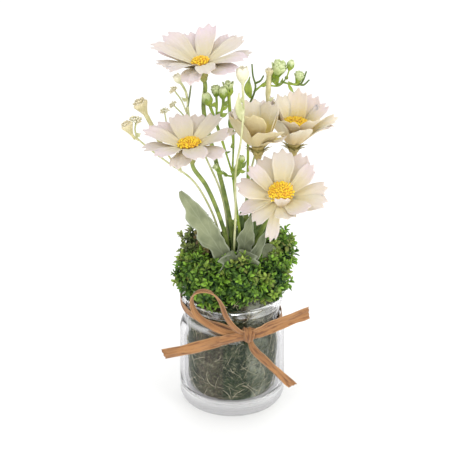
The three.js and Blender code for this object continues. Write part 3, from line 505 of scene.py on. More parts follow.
def stalk_material(name, light, dark, worn):
    """Stems, stalks and heads of sprays, shaded green where they go down among the foliage.

    tone: x chance value, y 1 on pale heads and below 0 on dark twigs, z 1 where it is dry or tan.
    """
    material, shader, w = finish_material(name, Roughness=0.5)
    across, along, _ = w.along()
    own, head, dry = w.tone()
    lines = w.group(FIBRE_LINES, Across=across, Along=w.math("MULTIPLY", along, 6.0),
                    Lines=9.0, Seed=own)[0]
    patches, grain = w.group(MOTTLING, Size=160.0)
    colour = w.tint(lines, 0.35, w.blend(patches, dark, light), light)
    pale = w.math("MULTIPLY", head, w.math("MULTIPLY", along, 0.75), clamp=True)
    colour = w.blend(pale, colour, worn)
    colour = w.blend(w.math("MULTIPLY", head, -1.0, clamp=True), colour, SHADED_GREEN)
    colour = w.blend(dry, colour, (0.62, 0.40, 0.16))
    low = w.ramp(w.separate(w.place())[2], 0.130, 0.106, 0.0, 0.55)
    w.feed(shader, Base_Color=w.blend(low, colour, SHADED_GREEN),
           Roughness=w.ramp(grain, 0.3, 0.7, 0.42, 0.6), Normal=w.bump(lines, 0.4, 0.0002))
    return material


def leaflet_material(name, bright, dark, old):
    """tone: x chance value, y how far out in the clump the leaflet is, z its sprig's chance value."""
    material, shader, w = finish_material(name, Specular_IOR_Level=0.3, Subsurface_Weight=0.1,
                                          Subsurface_Radius=(0.6, 1.0, 0.3), Subsurface_Scale=0.0008)
    across, along, _ = w.along()
    own, out, sprig = w.tone()
    veins = w.group(LEAF_VEINS, Across=across, Along=along, Pairs=3.0)[0]
    _, grain = w.group(MOTTLING, Size=320.0)
    # Painted light and shade: leaflets far out in the clump are bright and those deep inside it are near
    # black, with a random share.
    depth = w.math("ADD", w.math("MULTIPLY", out, 0.75), w.math("MULTIPLY", own, 0.35))
    green = w.blend(w.ramp(depth, 0.25, 1.0), dark, bright)
    green = w.blend(w.ramp(sprig, 0.82, 0.95, 0.0, 0.55), green, old)
    green = w.blend(w.ramp(sprig, 0.45, 0.1, 0.0, 0.6), green, dark)
    w.feed(shader, Base_Color=w.tint(veins, 0.25, green, bright),
           Roughness=w.ramp(grain, 0.2, 0.8, 0.34, 0.52), Normal=w.bump(veins, 0.3, 0.0002))
    return material


def felted_material():
    """Silvery leaf: felted, with a pale edge, sunken veins and painted shade towards its stalk. tone: x is
    how pale the leaf is, that is how far it lightens out of that shade towards its tip.
    """
    material, shader, w = finish_material("Silvery leaf", Roughness=0.75, Sheen_Weight=0.25,
                                          Sheen_Roughness=0.4)
    across, along, _ = w.along()
    pale, _, _ = w.tone()
    veins = w.group(LEAF_VEINS, Across=across, Along=along, Pairs=5.0)[0]
    patches, _ = w.group(MOTTLING, Size=90.0)
    felt = w.noise(w.place(), 2600.0, 2.0, 0.8)
    # Painted shade: a leaf is darker towards its stalk and lighter towards its tip, as far as tone x lets
    # it lighten.
    lit_colour = w.blend(patches, (0.175, 0.20, 0.095), (0.26, 0.285, 0.15))
    shaded_colour = w.blend(patches, (0.06, 0.08, 0.034), (0.10, 0.12, 0.055))
    lit = w.math("MULTIPLY", w.ramp(along, 0.15, 0.75, 0.25, 1.0), pale)
    colour = w.tint(veins, 0.3, w.blend(lit, shaded_colour, lit_colour), (0.36, 0.39, 0.26))
    rim = w.ramp(w.off_middle(across), 0.40, 0.5, 0.0, 0.45)
    colour = w.blend(rim, colour, (0.46, 0.50, 0.38))
    w.feed(shader, Base_Color=w.tint(felt, 0.14, colour, (0.50, 0.53, 0.42)),
           Normal=w.bump(w.math("SUBTRACT", felt, veins), 0.4, 0.0003))
    return material


def blade_material():
    """The dark narrow leaves."""
    material, shader, w = finish_material("Narrow leaf", Roughness=0.4)
    across, along, _ = w.along()
    own, _, _ = w.tone()
    lines = w.group(FIBRE_LINES, Across=across, Along=along, Lines=14.0, Seed=own)[0]
    patches, grain = w.group(MOTTLING, Size=120.0)
    colour = w.blend(patches, (0.055, 0.10, 0.022), (0.11, 0.17, 0.045))
    w.feed(shader, Base_Color=w.tint(lines, 0.4, colour, (0.20, 0.27, 0.08)),
           Roughness=w.ramp(grain, 0.3, 0.7, 0.33, 0.5), Normal=w.bump(lines, 0.4, 0.0002))
    return material


def raffia_material():
    """Flat raffia: long fibres, creases darkened with painted shade and edges made paler as a painted
    highlight. tone: x chance value, y spreads the painted shade over more of the creases.
    """
    material, shader, w = finish_material("Raffia", Roughness=0.66, Sheen_Weight=0.15)
    across, along, _ = w.along()
    own, creased, _ = w.tone()
    fibres = w.group(FIBRE_LINES, Across=across, Along=w.math("MULTIPLY", along, 2.0),
                     Lines=26.0, Seed=own)[0]
    creases = w.group(FIBRE_LINES, Across=across, Along=w.math("MULTIPLY", along, 5.0),
                      Lines=6.0, Seed=w.math("ADD", own, 0.37))[0]
    patches, _ = w.group(MOTTLING, Size=45.0)
    colour = w.blend(patches, (0.23, 0.092, 0.026), (0.37, 0.165, 0.052))
    colour = w.tint(fibres, 0.5, colour, (0.53, 0.28, 0.105))
    # Painted shade: the creases are darkened, over more of each crease where tone y is higher.
    depth = w.math("ADD", 0.45, w.math("MULTIPLY", creased, 0.3))
    colour = w.blend(w.ramp(creases, depth, 0.1, 0.0, 0.85), colour, (0.145, 0.053, 0.018))
    # Painted highlight: the edges of each strip are paler.
    rim = w.ramp(w.off_middle(across), 0.43, 0.5, 0.0, 0.5)
    height = w.math("ADD", fibres, w.math("MULTIPLY", creases, 1.5))
    w.feed(shader, Base_Color=w.blend(rim, colour, (0.62, 0.37, 0.18)),
           Roughness=w.ramp(fibres, 0.0, 1.0, 0.72, 0.55), Normal=w.bump(height, 0.55, 0.0004))
    return material


def moss_material():
    """Matted dark green fibres: brown down the left and on the neck's right, with a pale band down the
    right that is a painted reflection of the lamps in the glass.
    """
    material, shader, w = finish_material("Moss", Roughness=0.95, Specular_IOR_Level=0.03)
    place = w.place()
    x, y, z = w.separate(place)
    patches, grain = w.group(MOTTLING, Size=70.0)
    upright = w.combine(w.math("MULTIPLY", x, 70.0), w.math("MULTIPLY", y, 70.0),
                        w.math("MULTIPLY", z, 12.0))
    ragged = w.math("MULTIPLY", w.math("SUBTRACT", w.noise(upright, 1.0, 3.0), 0.5), 0.02)
    across = w.math("ADD", x, ragged)
    left_band = w.band(across, -26, -6, 4)
    # Painted reflection: a pale band down the right of the moss, where the glass in front reflects a
    # bright streak.
    reflection_band = w.band(across, 9, 26, 4)
    neck_band = w.math("MULTIPLY", w.ramp(z, 0.056, 0.064), w.ramp(across, 0.0, 0.01))
    matted = w.noise(place, 360.0, 6.0, 0.85)
    green = w.blend(patches, (0.008, 0.021, 0.008), (0.028, 0.050, 0.018))
    brown = w.blend(patches, (0.050, 0.042, 0.028), (0.105, 0.090, 0.062))
    pale = w.blend(patches, (0.16, 0.19, 0.13), (0.38, 0.40, 0.33))
    colour = w.blend(w.math("MAXIMUM", left_band, neck_band), green, brown)
    colour = w.tint(reflection_band, 0.8, colour, pale)
    colour = w.blend(w.ramp(matted, 0.53, 0.62, 0.0, 0.85), colour, (0.28, 0.28, 0.17))
    colour = w.blend(w.ramp(matted, 0.48, 0.38, 0.0, 0.9), colour, (0.003, 0.006, 0.003))
    w.feed(shader, Base_Color=colour, Normal=w.bump(w.math("ADD", matted, grain), 0.9, 0.0012))
    return material


def fibre_material():
    """Loose moss fibres. tone: x goes from green through brown to straw."""
    material, shader, w = finish_material("Moss fibres", Roughness=0.85, Specular_IOR_Level=0.08)
    own, _, _ = w.tone()
    _, grain = w.group(MOTTLING, Size=300.0)
    colour = w.blend(w.ramp(own, 0.0, 0.5), (0.020, 0.042, 0.016), (0.12, 0.125, 0.06))
    colour = w.blend(w.ramp(own, 0.66, 0.95), colour, (0.88, 0.78, 0.54))
    w.feed(shader, Base_Color=w.tint(grain, 0.2, colour, (0.04, 0.06, 0.025)),
           Normal=w.bump(grain, 0.3, 0.0002))
    return material


def glass_material():
    """Clear moulded glass, faintly uneven, with painted shade: grey where it is seen edge-on and grey in
    rings at the foot.

    A coat catches the light on the lip, the bead, the neck and the heel. Shadow and diffuse rays
    go straight through, so that the moss behind the glass is lit.
    """
    material, shader, w = finish_material(
        "Clear glass", Transmission_Weight=1.0, IOR=1.28, Roughness=0.0, Metallic=0.0,
        Specular_IOR_Level=0.2, Coat_IOR=3.0, Coat_Roughness=0.2)
    nodes, links = material.node_tree.nodes, material.node_tree.links
    edge_on = nodes.new("ShaderNodeLayerWeight").outputs["Facing"]
    height = w.separate(w.place())[2]
    rings = w.math("SINE", w.math("MULTIPLY", height, 3600.0))
    # Painted shade: the foot is tinted grey, in rings.
    foot = w.math("MULTIPLY", w.ramp(height, 0.013, 0.007), w.ramp(rings, -1.0, 1.0, 0.55, 1.0))
    body = w.blend(foot, (0.91, 0.91, 0.915), (0.38, 0.37, 0.38))
    lip = w.ramp(height, (JAR_HEIGHT - 1.7) * MM, (JAR_HEIGHT - 1.1) * MM)
    bead = w.band(height, BEAD_Z + 3.8, BEAD_Z + 6.2, 0.6)
    neck = w.band(height, NECK_Z - 2, NECK_Z + 3, 1.5)
    heel = w.band(height, JAR_FLOOR + 5.3, JAR_FLOOR + 8.3, 0.8)
    lit = w.math("MAXIMUM", w.math("MAXIMUM", lip, bead), w.math("MAXIMUM", neck, heel))
    smears = w.noise(w.place(), 130.0, 4.0)
    # Painted shade: the glass is tinted grey where it is seen edge-on.
    w.feed(shader, Base_Color=w.blend(w.ramp(edge_on, 0.35, 0.95), body, (0.36, 0.355, 0.38)),
           Coat_Weight=lit, Roughness=w.ramp(smears, 0.5, 0.8, 0.0, 0.008),
           Normal=w.bump(w.noise(w.place(), 45.0, 1.0), 0.03, 0.0006))
    path = nodes.new("ShaderNodeLightPath").outputs
    through = nodes.new("ShaderNodeBsdfTransparent")
    either = nodes.new("ShaderNodeMixShader")
    w.set(either.inputs[0], w.math("MAXIMUM", path["Is Shadow Ray"], path["Is Diffuse Ray"]))
    links.new(shader.outputs[0], either.inputs[1])
    links.new(through.outputs[0], either.inputs[2])
    links.new(either.outputs[0], nodes["Material Output"].inputs["Surface"])
    return material


PETAL = petal_material()
DISC = disc_material()
STEM = stalk_material("Daisy stem", (0.25, 0.31, 0.065), (0.09, 0.14, 0.02), (0.30, 0.31, 0.075))
GREEN = stalk_material("Green spray", (0.31, 0.41, 0.035), (0.11, 0.19, 0.012), (0.62, 0.69, 0.38))
PALE = stalk_material("Pale spray", (0.62, 0.62, 0.36), (0.40, 0.43, 0.16), (0.78, 0.74, 0.58))
FOLIAGE = leaflet_material("Foliage", (0.26, 0.47, 0.05), (0.006, 0.036, 0.012), (0.40, 0.42, 0.11))
DRY_FOLIAGE = leaflet_material("Dry foliage", (0.30, 0.37, 0.10), (0.05, 0.075, 0.025), (0.25, 0.12, 0.07))
FELTED = felted_material()
BLADE = blade_material()
RAFFIA = raffia_material()
MOSS = moss_material()
FIBRE = fibre_material()
GLASS = glass_material()


# ---------------------------------------------------------------- jar

CORNER_SHARE = 0.3


def rounded(profile, cuts=3):
    """A profile whose inner corners are eased, each with a short run of points."""
    eased = [profile[0]]
    for before, here, after in zip(profile, profile[1:], profile[2:]):
        before, here, after = map(np.asarray, (before, here, after))
        start, end = mix(here, before, CORNER_SHARE), mix(here, after, CORNER_SHARE)
        eased += [bent(start, here, end, t).tolist() for t in np.linspace(0, 1, cuts + 1)]
    return eased + [profile[-1]]


def jar_profile():
    """Radius and height from the middle of the foot, over the rim and down to the inner floor."""
    foot = JAR_RADIUS - JAR_FOOT_RADIUS
    heel = [[JAR_FOOT_RADIUS + foot * math.sin(a), foot * (1 - math.cos(a))]
            for a in np.radians(np.linspace(0, 90, 13))]
    inner = JAR_RADIUS - JAR_WALL
    upper = rounded([
        heel[-1], [JAR_RADIUS, JAR_SHOULDER_Z], [JAR_RADIUS - 0.9, JAR_SHOULDER_Z + 3.8],
        [NECK_RADIUS - 0.1, NECK_Z], [NECK_RADIUS - 0.2, BEAD_Z + 2], [BEAD_RADIUS + 0.3, BEAD_Z + 4],
        [BEAD_RADIUS + 0.5, JAR_HEIGHT - 3], [BEAD_RADIUS - 0.3, JAR_HEIGHT],
        [MOUTH_RADIUS, JAR_HEIGHT], [MOUTH_RADIUS - 0.4, JAR_HEIGHT - 2.2],
        [MOUTH_RADIUS, BEAD_Z + 1], [MOUTH_RADIUS, NECK_Z], [inner, JAR_SHOULDER_Z],
        [inner, JAR_FLOOR + 9], [inner - 2.2, JAR_FLOOR + 3.6], [inner - 7, JAR_FLOOR + 0.7],
        [0.05, JAR_FLOOR]])
    return [[0.05, 0], *heel[:-1], *upper]


JAR_PROFILE = jar_profile()


def glass_radius(z):
    """The outer radius of the glass at a height."""
    heights = [height for radius, height in JAR_PROFILE]
    outside = JAR_PROFILE[:heights.index(max(heights)) + 1]
    return float(np.interp(z, heights[:len(outside)], [radius for radius, height in outside]))


def make_jar():
    pile = Pile()
    add_turned(pile, JAR_PROFILE, 128, (0.5, 0, 0))
    pile.piece("glass_jar", GLASS, ["jar"], "glass")


# ---------------------------------------------------------------- moss filling

MOSS_OUTLINE = [
    [0.3, JAR_FLOOR + 1], [MOSS_BODY_RADIUS - 7.5, JAR_FLOOR + 1],
    [MOSS_BODY_RADIUS - 2.6, JAR_FLOOR + 7], [MOSS_BODY_RADIUS, 46],
    [MOSS_NECK_RADIUS - 0.4, 57], [MOSS_NECK_RADIUS - 0.6, 70],
    [MOSS_NECK_RADIUS - 3, 77], [16, 83], [0.3, MOSS_TOP]]
MOSS_RINGS = 110
MOSS_SIDES = 150
LYING_FIBRES = 2000
LYING_STEPS = 8
STANDING_FIBRES = 420
STANDING_REACH = 28.4


def make_moss_body(random):
    """The matted body: low swells round and up it, and a fine unevenness."""
    outline = even_points([[r, 0, z] for r, z in MOSS_OUTLINE], MOSS_RINGS)
    radii, heights = outline[:, :1], outline[:, 2:]
    angle = round_angles(MOSS_SIDES)
    lumps = sum(random.uniform(0.05, 0.16) * np.sin(random.integers(3, 22) * angle[None]
                + random.uniform(0.05, 0.6) * heights + random.uniform(0, 6))
                for _ in range(14))
    fine = random.normal(0, 0.16, lumps.shape)
    radius = np.maximum(radii - 1.2 + lumps * 0.9 + fine, 0.1)
    radius[[0, -1]] = MOSS_OUTLINE[0][0]
    rise = np.where(heights > 79, lumps * 1.3 + fine, 0)
    body = np.stack([radius * np.cos(angle), radius * np.sin(angle), heights + rise], -1)
    pile = Pile()
    pile.add(body.reshape(-1, 3), rings_to_faces(MOSS_RINGS, MOSS_SIDES), (0, 0), (0.5, 0, 0))
    pile.piece("moss_body", MOSS, ["moss_filling"], "moss")


def add_lying_fibre(pile, random, wave):
    """A fibre that lies along the inside of the glass and bends a little."""
    z = random.uniform(JAR_FLOOR + 5, 77)
    bearing = random.uniform(0, 2 * np.pi)
    limit = float(np.interp(z, [JAR_FLOOR + 5, 14, 50, NECK_Z, 80], [27, 29.4, 30.6, 28.9, 28.9]))
    length = random.uniform(4, 17)
    heading = random.uniform(-1.4, 1.4)
    turn = random.normal(0, 0.4)
    steps = np.linspace(-0.5, 0.5, LYING_STEPS)
    headings = heading + turn * steps * 2
    run = np.cumsum(np.cos(headings)) * length / LYING_STEPS
    climb = np.cumsum(np.sin(headings)) * length / LYING_STEPS
    bearings = bearing + (run - run[LYING_STEPS // 2]) / limit
    levels = np.clip(z + climb - climb[LYING_STEPS // 2], JAR_FLOOR + 4.5, 77.5)
    radii = np.interp(levels, [11, 14, 50, NECK_Z, 80], [26, 29, 30.4, 28.7, 28.7])
    radii = radii - 0.8 * random.random() + 0.15 * np.sin(steps * 7 + wave)
    path = np.stack([radii * np.cos(bearings), radii * np.sin(bearings), levels], 1)
    thick = random.uniform(0.05, 0.13) * np.array([0.4, 0.9, 1, 1, 1, 1, 0.8, 0.3])
    add_tube(pile, path, thick, 3, (random.random() ** 1.5, 0, 0))


def add_standing_fibre(pile, random):
    """A fibre that stands out of the top of the moss and leans, kept inside the rim."""
    reach, bearing = 27 * math.sqrt(random.random()), random.uniform(0, 2 * np.pi)
    base = np.array([reach * math.cos(bearing), reach * math.sin(bearing),
                     np.interp(reach, [0, 16, 26, 28], [84, 83, 79, 76])])
    lean = np.array([random.normal(0, 1), random.normal(0, 1), random.uniform(0.05, 0.6)])
    tip = base + unit(lean) * random.uniform(3, 8)
    middle = (base + tip) / 2 + [0, 0, random.uniform(0.3, 1.6)]
    tip_reach = np.hypot(*tip[:2])
    if tip_reach > STANDING_REACH:
        tip[:2] *= STANDING_REACH / tip_reach
    tip[2] = min(tip[2], MOSS_TOP + 1.5)
    add_tube(pile, even_points([base, middle, tip], 6), [0.15, 0.17, 0.16, 0.14, 0.1, 0.05], 4,
             (random.random() ** 1.3, 0, 0))


def make_moss():
    """The moss body with loose fibres over it."""
    random = np.random.default_rng(7)
    make_moss_body(random)
    fibres = Pile()
    for i in range(LYING_FIBRES):
        add_lying_fibre(fibres, random, i)
    for _ in range(STANDING_FIBRES):
        add_standing_fibre(fibres, random)
    fibres.piece("moss_fibres", FIBRE, (), "moss")


# ---------------------------------------------------------------- daisies

# hub: where the petals meet. tilt: how far the bloom leans from +Z, towards the bearing facing.
# back, front, left, right: the petals' slope at the root and at the tip, on that side.
# fallen: the bearing about which petals have dropped, and by how much. The petals' painted shade
# (a duller grey, set per bloom for how brightly the lamps light it), pink, glow (yellow by the disc)
# and outer (peach on the outside) go to the petal material.
# bends: the petals that lie out of line, by number: slope at the root and at the tip, and how many
# times as long and as wide. A number past the last petal is one more small petal, at the front.
BLOOMS = [
    dict(name="daisy_1", seed=11, hub=(-19.8, 5, 234), tilt=12, facing=212, petals=14, turn=0,
         reach=34, width=14, root_radius=4.2, disc=5.8, disc_lift=0.6, dome=2.2,
         back=(16, 27), front=(34, -16), left=(40, 24), right=(9, 3), fallen=(0, 0),
         root=(0, 3), stem=[(0.5, 4, 112), (-4, 7, 140), (-12, 12, 172), (-18.5, 12, 202)],
         pink=0.8, outer=0.3, glow=0.4, painted_shade=0.92, bends={}),
    dict(name="daisy_2", seed=23, hub=(-26.9, -18, 187.6), tilt=10, facing=215, petals=12, turn=15,
         reach=31, width=14.5, root_radius=4.2, disc=7, disc_lift=0.8, dome=3,
         back=(16, 27), front=(28, -20), left=(26, 18), right=(18, 10), fallen=(0, 0),
         root=(-4, -5), stem=[(-3, -5.5, 112), (-8, -8, 135), (-17, -13, 160)],
         pink=0.6, outer=0.3, glow=0.5, painted_shade=0.8, bends={}),
    dict(name="daisy_3", seed=31, hub=(16.1, -2, 184.4), tilt=4, facing=110, petals=10, turn=0,
         reach=31, width=19.5, root_radius=5.2, disc=4.4, disc_lift=1.5, dome=3,
         back=(60, 70), front=(48, 50), left=(48, 68), right=(62, 68), fallen=(324, 40),
         root=(7, 3), stem=[(7.5, 3.5, 116), (10, 4.5, 140), (15, 1, 165)],
         pink=0.4, outer=1.5, glow=2.0, painted_shade=0.3, bends={9: (22, 12, 0.7, 0.85), 0: (66, 76, 0.9, 0.9)}),
    dict(name="daisy_4", seed=47, hub=(40.4, 26, 175.4), tilt=4, facing=300, petals=13, turn=0,
         reach=36, width=15.5, root_radius=5.4, disc=9, disc_lift=9.6, dome=2.6,
         back=(64, 58), front=(52, 40), left=(66, 64), right=(56, 26), fallen=(0, 0),
         root=(12, 4), stem=[(13, 5, 112), (24, 13, 134), (35, 22, 155)],
         pink=0.6, outer=1.25, glow=1.6, painted_shade=0.05, bends={}),
    dict(name="daisy_5", seed=59, hub=(31, -24, 156.6), tilt=31, facing=262, petals=13, turn=0,
         reach=32, width=14.5, root_radius=4.6, disc=8, disc_lift=2.2, dome=5,
         back=(16, 34), front=(14, 34), left=(8, 24), right=(8, 26), fallen=(0, 0),
         root=(14, -4), stem=[(14.5, -4, 112), (19, -6, 126), (26, -14, 142)],
         pink=0.5, outer=0.45, glow=0.6, painted_shade=0.7,
         bends={1: (12, 52, 1.0, 0.8), 5: (16, 50, 0.95, 0.7), 7: (-6, -26, 0.95, 0.75),
                8: (2, -18, 0.84, 0.85), 9: (-14, -62, 1.0, 0.62), 10: (12, 34, 0.8, 1.0),
                13: (70, 108, 0.56, 0.66)}),
]
HUB_HEIGHT = 2.2
FRONT_BEARING = 270
PETAL_ROWS = 20
PETAL_COLUMNS = 15
FLORETS_TO_AREA = 2.3
FLORET_SIDES = 6
STEM_RINGS = 60
STEM_RADII = (1.6, 1.35)


def rooted(root):
    """A stalk goes straight up out of the moss before it leans."""
    return [(*root, z) for z in (ROOT_Z, 74, 86)]


def bloom_axes(bloom):
    """Rows are the bloom's right, its back and the way it faces."""
    axis = direction(math.radians(bloom["tilt"]), math.radians(bloom["facing"]))
    right = unit(np.cross([0, 1, 0], axis))
    return np.stack([right, np.cross(axis, right), axis])


def lean_at(bloom, bearing, end):
    """A petal's slope where it starts (end 0) or at its tip (end 1), by the side it is on."""
    across, back = math.cos(math.radians(bearing)), math.sin(math.radians(bearing))
    middle, drop = bloom["fallen"]
    fallen = drop * max(0, math.cos(math.radians(bearing - middle))) ** 8
    return (bloom["right"][end] * max(0, across) ** 2 + bloom["left"][end] * max(0, -across) ** 2
            + bloom["back"][end] * max(0, back) ** 2 + bloom["front"][end] * max(0, -back) ** 2 - fallen)


def petal_list(bloom):
    """The petals by rule: evenly round the hub, every other one in the upper whorl."""
    random = seeded(bloom["seed"])

    def spread(amount):
        return (random() * 2 - 1) * amount

    petals = []
    count, bends = bloom["petals"], bloom["bends"]
    for i in range(count + 1 if count in bends else count):
        bearing = FRONT_BEARING
        if i < count:
            bearing = 360 * i / count + bloom["turn"] + spread(2.5)
        upper = i % 2
        lean = spread(1.5) + upper * 6
        petal = dict(bearing=math.radians(bearing), upper=upper)
        petal["reach"] = bloom["reach"] * (1 + spread(0.06))
        petal["width"] = bloom["width"] * (1 + spread(0.09))
        petal["rise"] = upper * 1.2 - 0.6
        petal["start"] = math.radians(lean_at(bloom, bearing, 0) + lean)
        petal["finish"] = math.radians(lean_at(bloom, bearing, 1) + lean + spread(6))
        petal["teeth"] = 2 if random() < 0.5 else 3
        petal["twist"] = math.radians(spread(6))
        petal["cup"] = 0.3 + upper * 0.8 + spread(0.2)
        if i in bends:
            start, finish, longer, wider = bends[i]
            petal["start"], petal["finish"] = math.radians(start), math.radians(finish)
            petal["reach"] *= longer
            petal["width"] *= wider
        petal["root"] = bloom["root_radius"] - upper * 1.2 * math.sin(petal["start"])
        if i == count:
            petal["root"] = bloom["disc"] + 0.4
        petals.append(petal)
    return petals


def tooth_cut(u, teeth):
    """How far a petal's end is cut back: two or three blunt teeth."""
    side = (2 * u - 1) ** 2
    if teeth == 2:
        return 0.09 * np.cos(2 * np.pi * u) ** 2 + 0.06 * side
    return 0.08 * np.sin(2 * np.pi * u) ** 2 + 0.09 * side


def petal_width(s):
    """A petal's width along its length, as a part of its greatest width."""
    widest = 0.64
    return np.where(s < widest, 0.36 + 0.64 * np.maximum(s / widest, 0) ** 0.8,
                    1 - 0.34 * (np.maximum(s - widest, 0) / (1 - widest)) ** 2)


def petal_surface(petal, random):
    """The middle surface of one petal in the bloom's axes, with its folds and wavy edge."""
    length = petal["reach"] - petal["root"]
    start, finish = petal["start"], petal["finish"]
    knee = (petal["root"] + 0.45 * length * math.cos(start),
            petal["rise"] + 0.45 * length * math.sin(start))
    tip = (knee[0] + 0.55 * length * math.cos(finish), knee[1] + 0.55 * length * math.sin(finish))
    v, u = grid(PETAL_ROWS, PETAL_COLUMNS)
    s = v * (1 - tooth_cut(u, petal["teeth"]) * v ** 3)
    out = bent(petal["root"], knee[0], tip[0], s)
    up = bent(petal["rise"], knee[1], tip[1], s)
    slope = mix(start, finish, s)
    side = (u - 0.5) * petal["width"] * petal_width(s)
    edge = 2 * u - 1
    folds = 0.2 * np.cos(4 * np.pi * u) * (1 - s * 0.4) + 0.12 * s * np.cos(9 * np.pi * u)
    calm = math.cos(min(1.3, max(0, start)))
    phase, curl = random.uniform(0, 6), random.uniform(-2.0, 1.0) * calm
    waves = 0.8 * calm * s * edge ** 2 * np.sin(8 * s + phase + 2 * edge)
    side = side + 0.5 * s * np.sin(7 * s + phase)
    lift = (petal["cup"] * edge ** 2 * petal_width(s) + side * np.tan(petal["twist"] * s)
            + folds + waves + curl * np.maximum(s - 0.65, 0) ** 2 * 8)
    return swung(out - lift * np.sin(slope), side, up + lift * np.cos(slope), petal["bearing"])


def make_petals(bloom):
    """The petals and the low hub that they grow from."""
    pile = Pile()
    random = np.random.default_rng(bloom["seed"])
    turn = bloom_axes(bloom)
    hub = np.array(bloom["hub"], float)
    for petal in petal_list(bloom):
        middle = petal_surface(petal, random)[:, ::-1] @ turn + hub
        # Painted shade per bloom, with a random spread per petal.
        own = bloom["painted_shade"] + random.uniform(-0.2, 0.2)
        pink = bloom["pink"] * random.uniform(0.2, 1.3)
        add_sheet(pile, middle, PETAL_THICKNESS, (own, pink, bloom["glow"]), (own, pink, -bloom["outer"]))
    eye = rounded([[0.1, -1.1], [3.4, -1], [4.6, 0], [3.8, 1.1], [0.1, 1.2]])
    add_turned(pile, eye, 24, (0.5, 0, -0.6), hub, turn[2])
    pile.piece(bloom["name"] + "_petals", PETAL, [bloom["name"] + "_petals"], "petal")


def make_disc(bloom):
    """A low dome set with florets in spirals, the outer ones open and the inner ones shut."""
    pile = Pile()
    turn = bloom_axes(bloom)
    random = np.random.default_rng(bloom["seed"] + 1)
    radius, dome = bloom["disc"], bloom["dome"]
    floor = np.array(bloom["hub"]) + turn[2] * (HUB_HEIGHT / 2 + 0.35 + bloom["disc_lift"])
    core = [[0.1, -bloom["disc_lift"]], [radius * 0.45, -bloom["disc_lift"]], [radius * 0.8, 0.1],
            [radius * 0.9, 0.3 * dome], [radius * 0.6, 0.8 * dome], [0.1, dome]]
    add_turned(pile, rounded(core), 28, (0.3, 0.1, 0), floor, turn[2])
    florets = int(FLORETS_TO_AREA * radius ** 2)
    for i in range(florets):
        reach = math.sqrt((i + 0.5) / florets)
        bearing = i * GOLDEN_TURN
        foot = np.array([reach * radius * 0.92 * math.cos(bearing),
                         reach * radius * 0.92 * math.sin(bearing), dome * (1 - reach ** 2.2)])
        lean = np.array([foot[0] * 0.1, foot[1] * 0.1, 1]) + random.normal(0, 0.2, 3)
        tall = 1.1 + 0.7 * reach + random.uniform(-0.3, 0.6)
        size = 0.42 + 0.16 * reach
        shape = [[size * 0.5, 0], [size * 0.6, tall * 0.55], [size * 1.2, tall * 0.92],
                 [size * 1.0, tall * 1.04], [size * 0.2, tall * 0.88]]
        tones = np.tile([random.random(), 1.0, 0.0], (len(shape) * FLORET_SIDES, 1))
        tones[:FLORET_SIDES, 1] = 0
        add_turned(pile, shape, FLORET_SIDES, tones, foot @ turn + floor, lean @ turn)
    pile.piece(bloom["name"] + "_disc", DISC, [bloom["name"] + "_disc"], "disc")


def add_bracts(pile, top, turn, row, count, reach, drop, dry):
    """One row of pointed bracts round the cup, which start below its top by drop."""
    v, u = grid(6, 5)
    edge = 2 * u - 1
    out = 3.0 - 0.25 * row + (reach - 3.0) * v ** 1.6 + 0.3 * (1 - edge ** 2)
    height = -drop - 2.4 + (2.4 + drop * 0.55) * v ** 0.8
    side = edge * (1.35 * (1 - v ** 2.4) + 0.06)
    for i in range(count):
        bract = swung(out, side, height, 2 * math.pi * (i + 0.5 * row) / count)
        add_sheet(pile, bract[:, ::-1] @ turn + top, BRACT_THICKNESS,
                  (i / count, 0.9, 0.6 * dry + 0.2 * row))


def make_stem(bloom):
    """Stem, swollen neck, cup and its bracts, which are wide and dry under a half-closed bloom."""
    pile = Pile()
    turn = bloom_axes(bloom)
    hub = np.array(bloom["hub"], float)
    path = [*rooted(bloom["root"]), *bloom["stem"], hub - turn[2] * 14, hub - turn[2] * 7]
    add_tube(pile, even_points(path, STEM_RINGS), np.linspace(*STEM_RADII, STEM_RINGS), 12,
             (0.4, 0, 0), 0.07, 6)
    top = hub - turn[2] * (HUB_HEIGHT / 2 + 0.5)
    cup = [[0.9, -10.5], [1.3, -9.6], [2.2, -8.4], [2.5, -7], [2.9, -4.5], [3.9, -1.6],
           [4.3, -0.2], [0.2, 0]]
    half_closed = bloom["outer"] > 0.9
    spread, dry = (1.45, 0.5) if half_closed else (1, 0.12)
    add_turned(pile, rounded(cup, 2), 24, (0.8, 0.9, dry), top, turn[2])
    add_bracts(pile, top, turn, 0, 9, 6.2 * spread, 1.6, dry)
    add_bracts(pile, top, turn, 1, 8, 5.2 * spread, 3.6, dry)
    pile.piece(bloom["name"] + "_stem", STEM, [bloom["name"] + "_stem"], "stem")


# ---------------------------------------------------------------- sprays

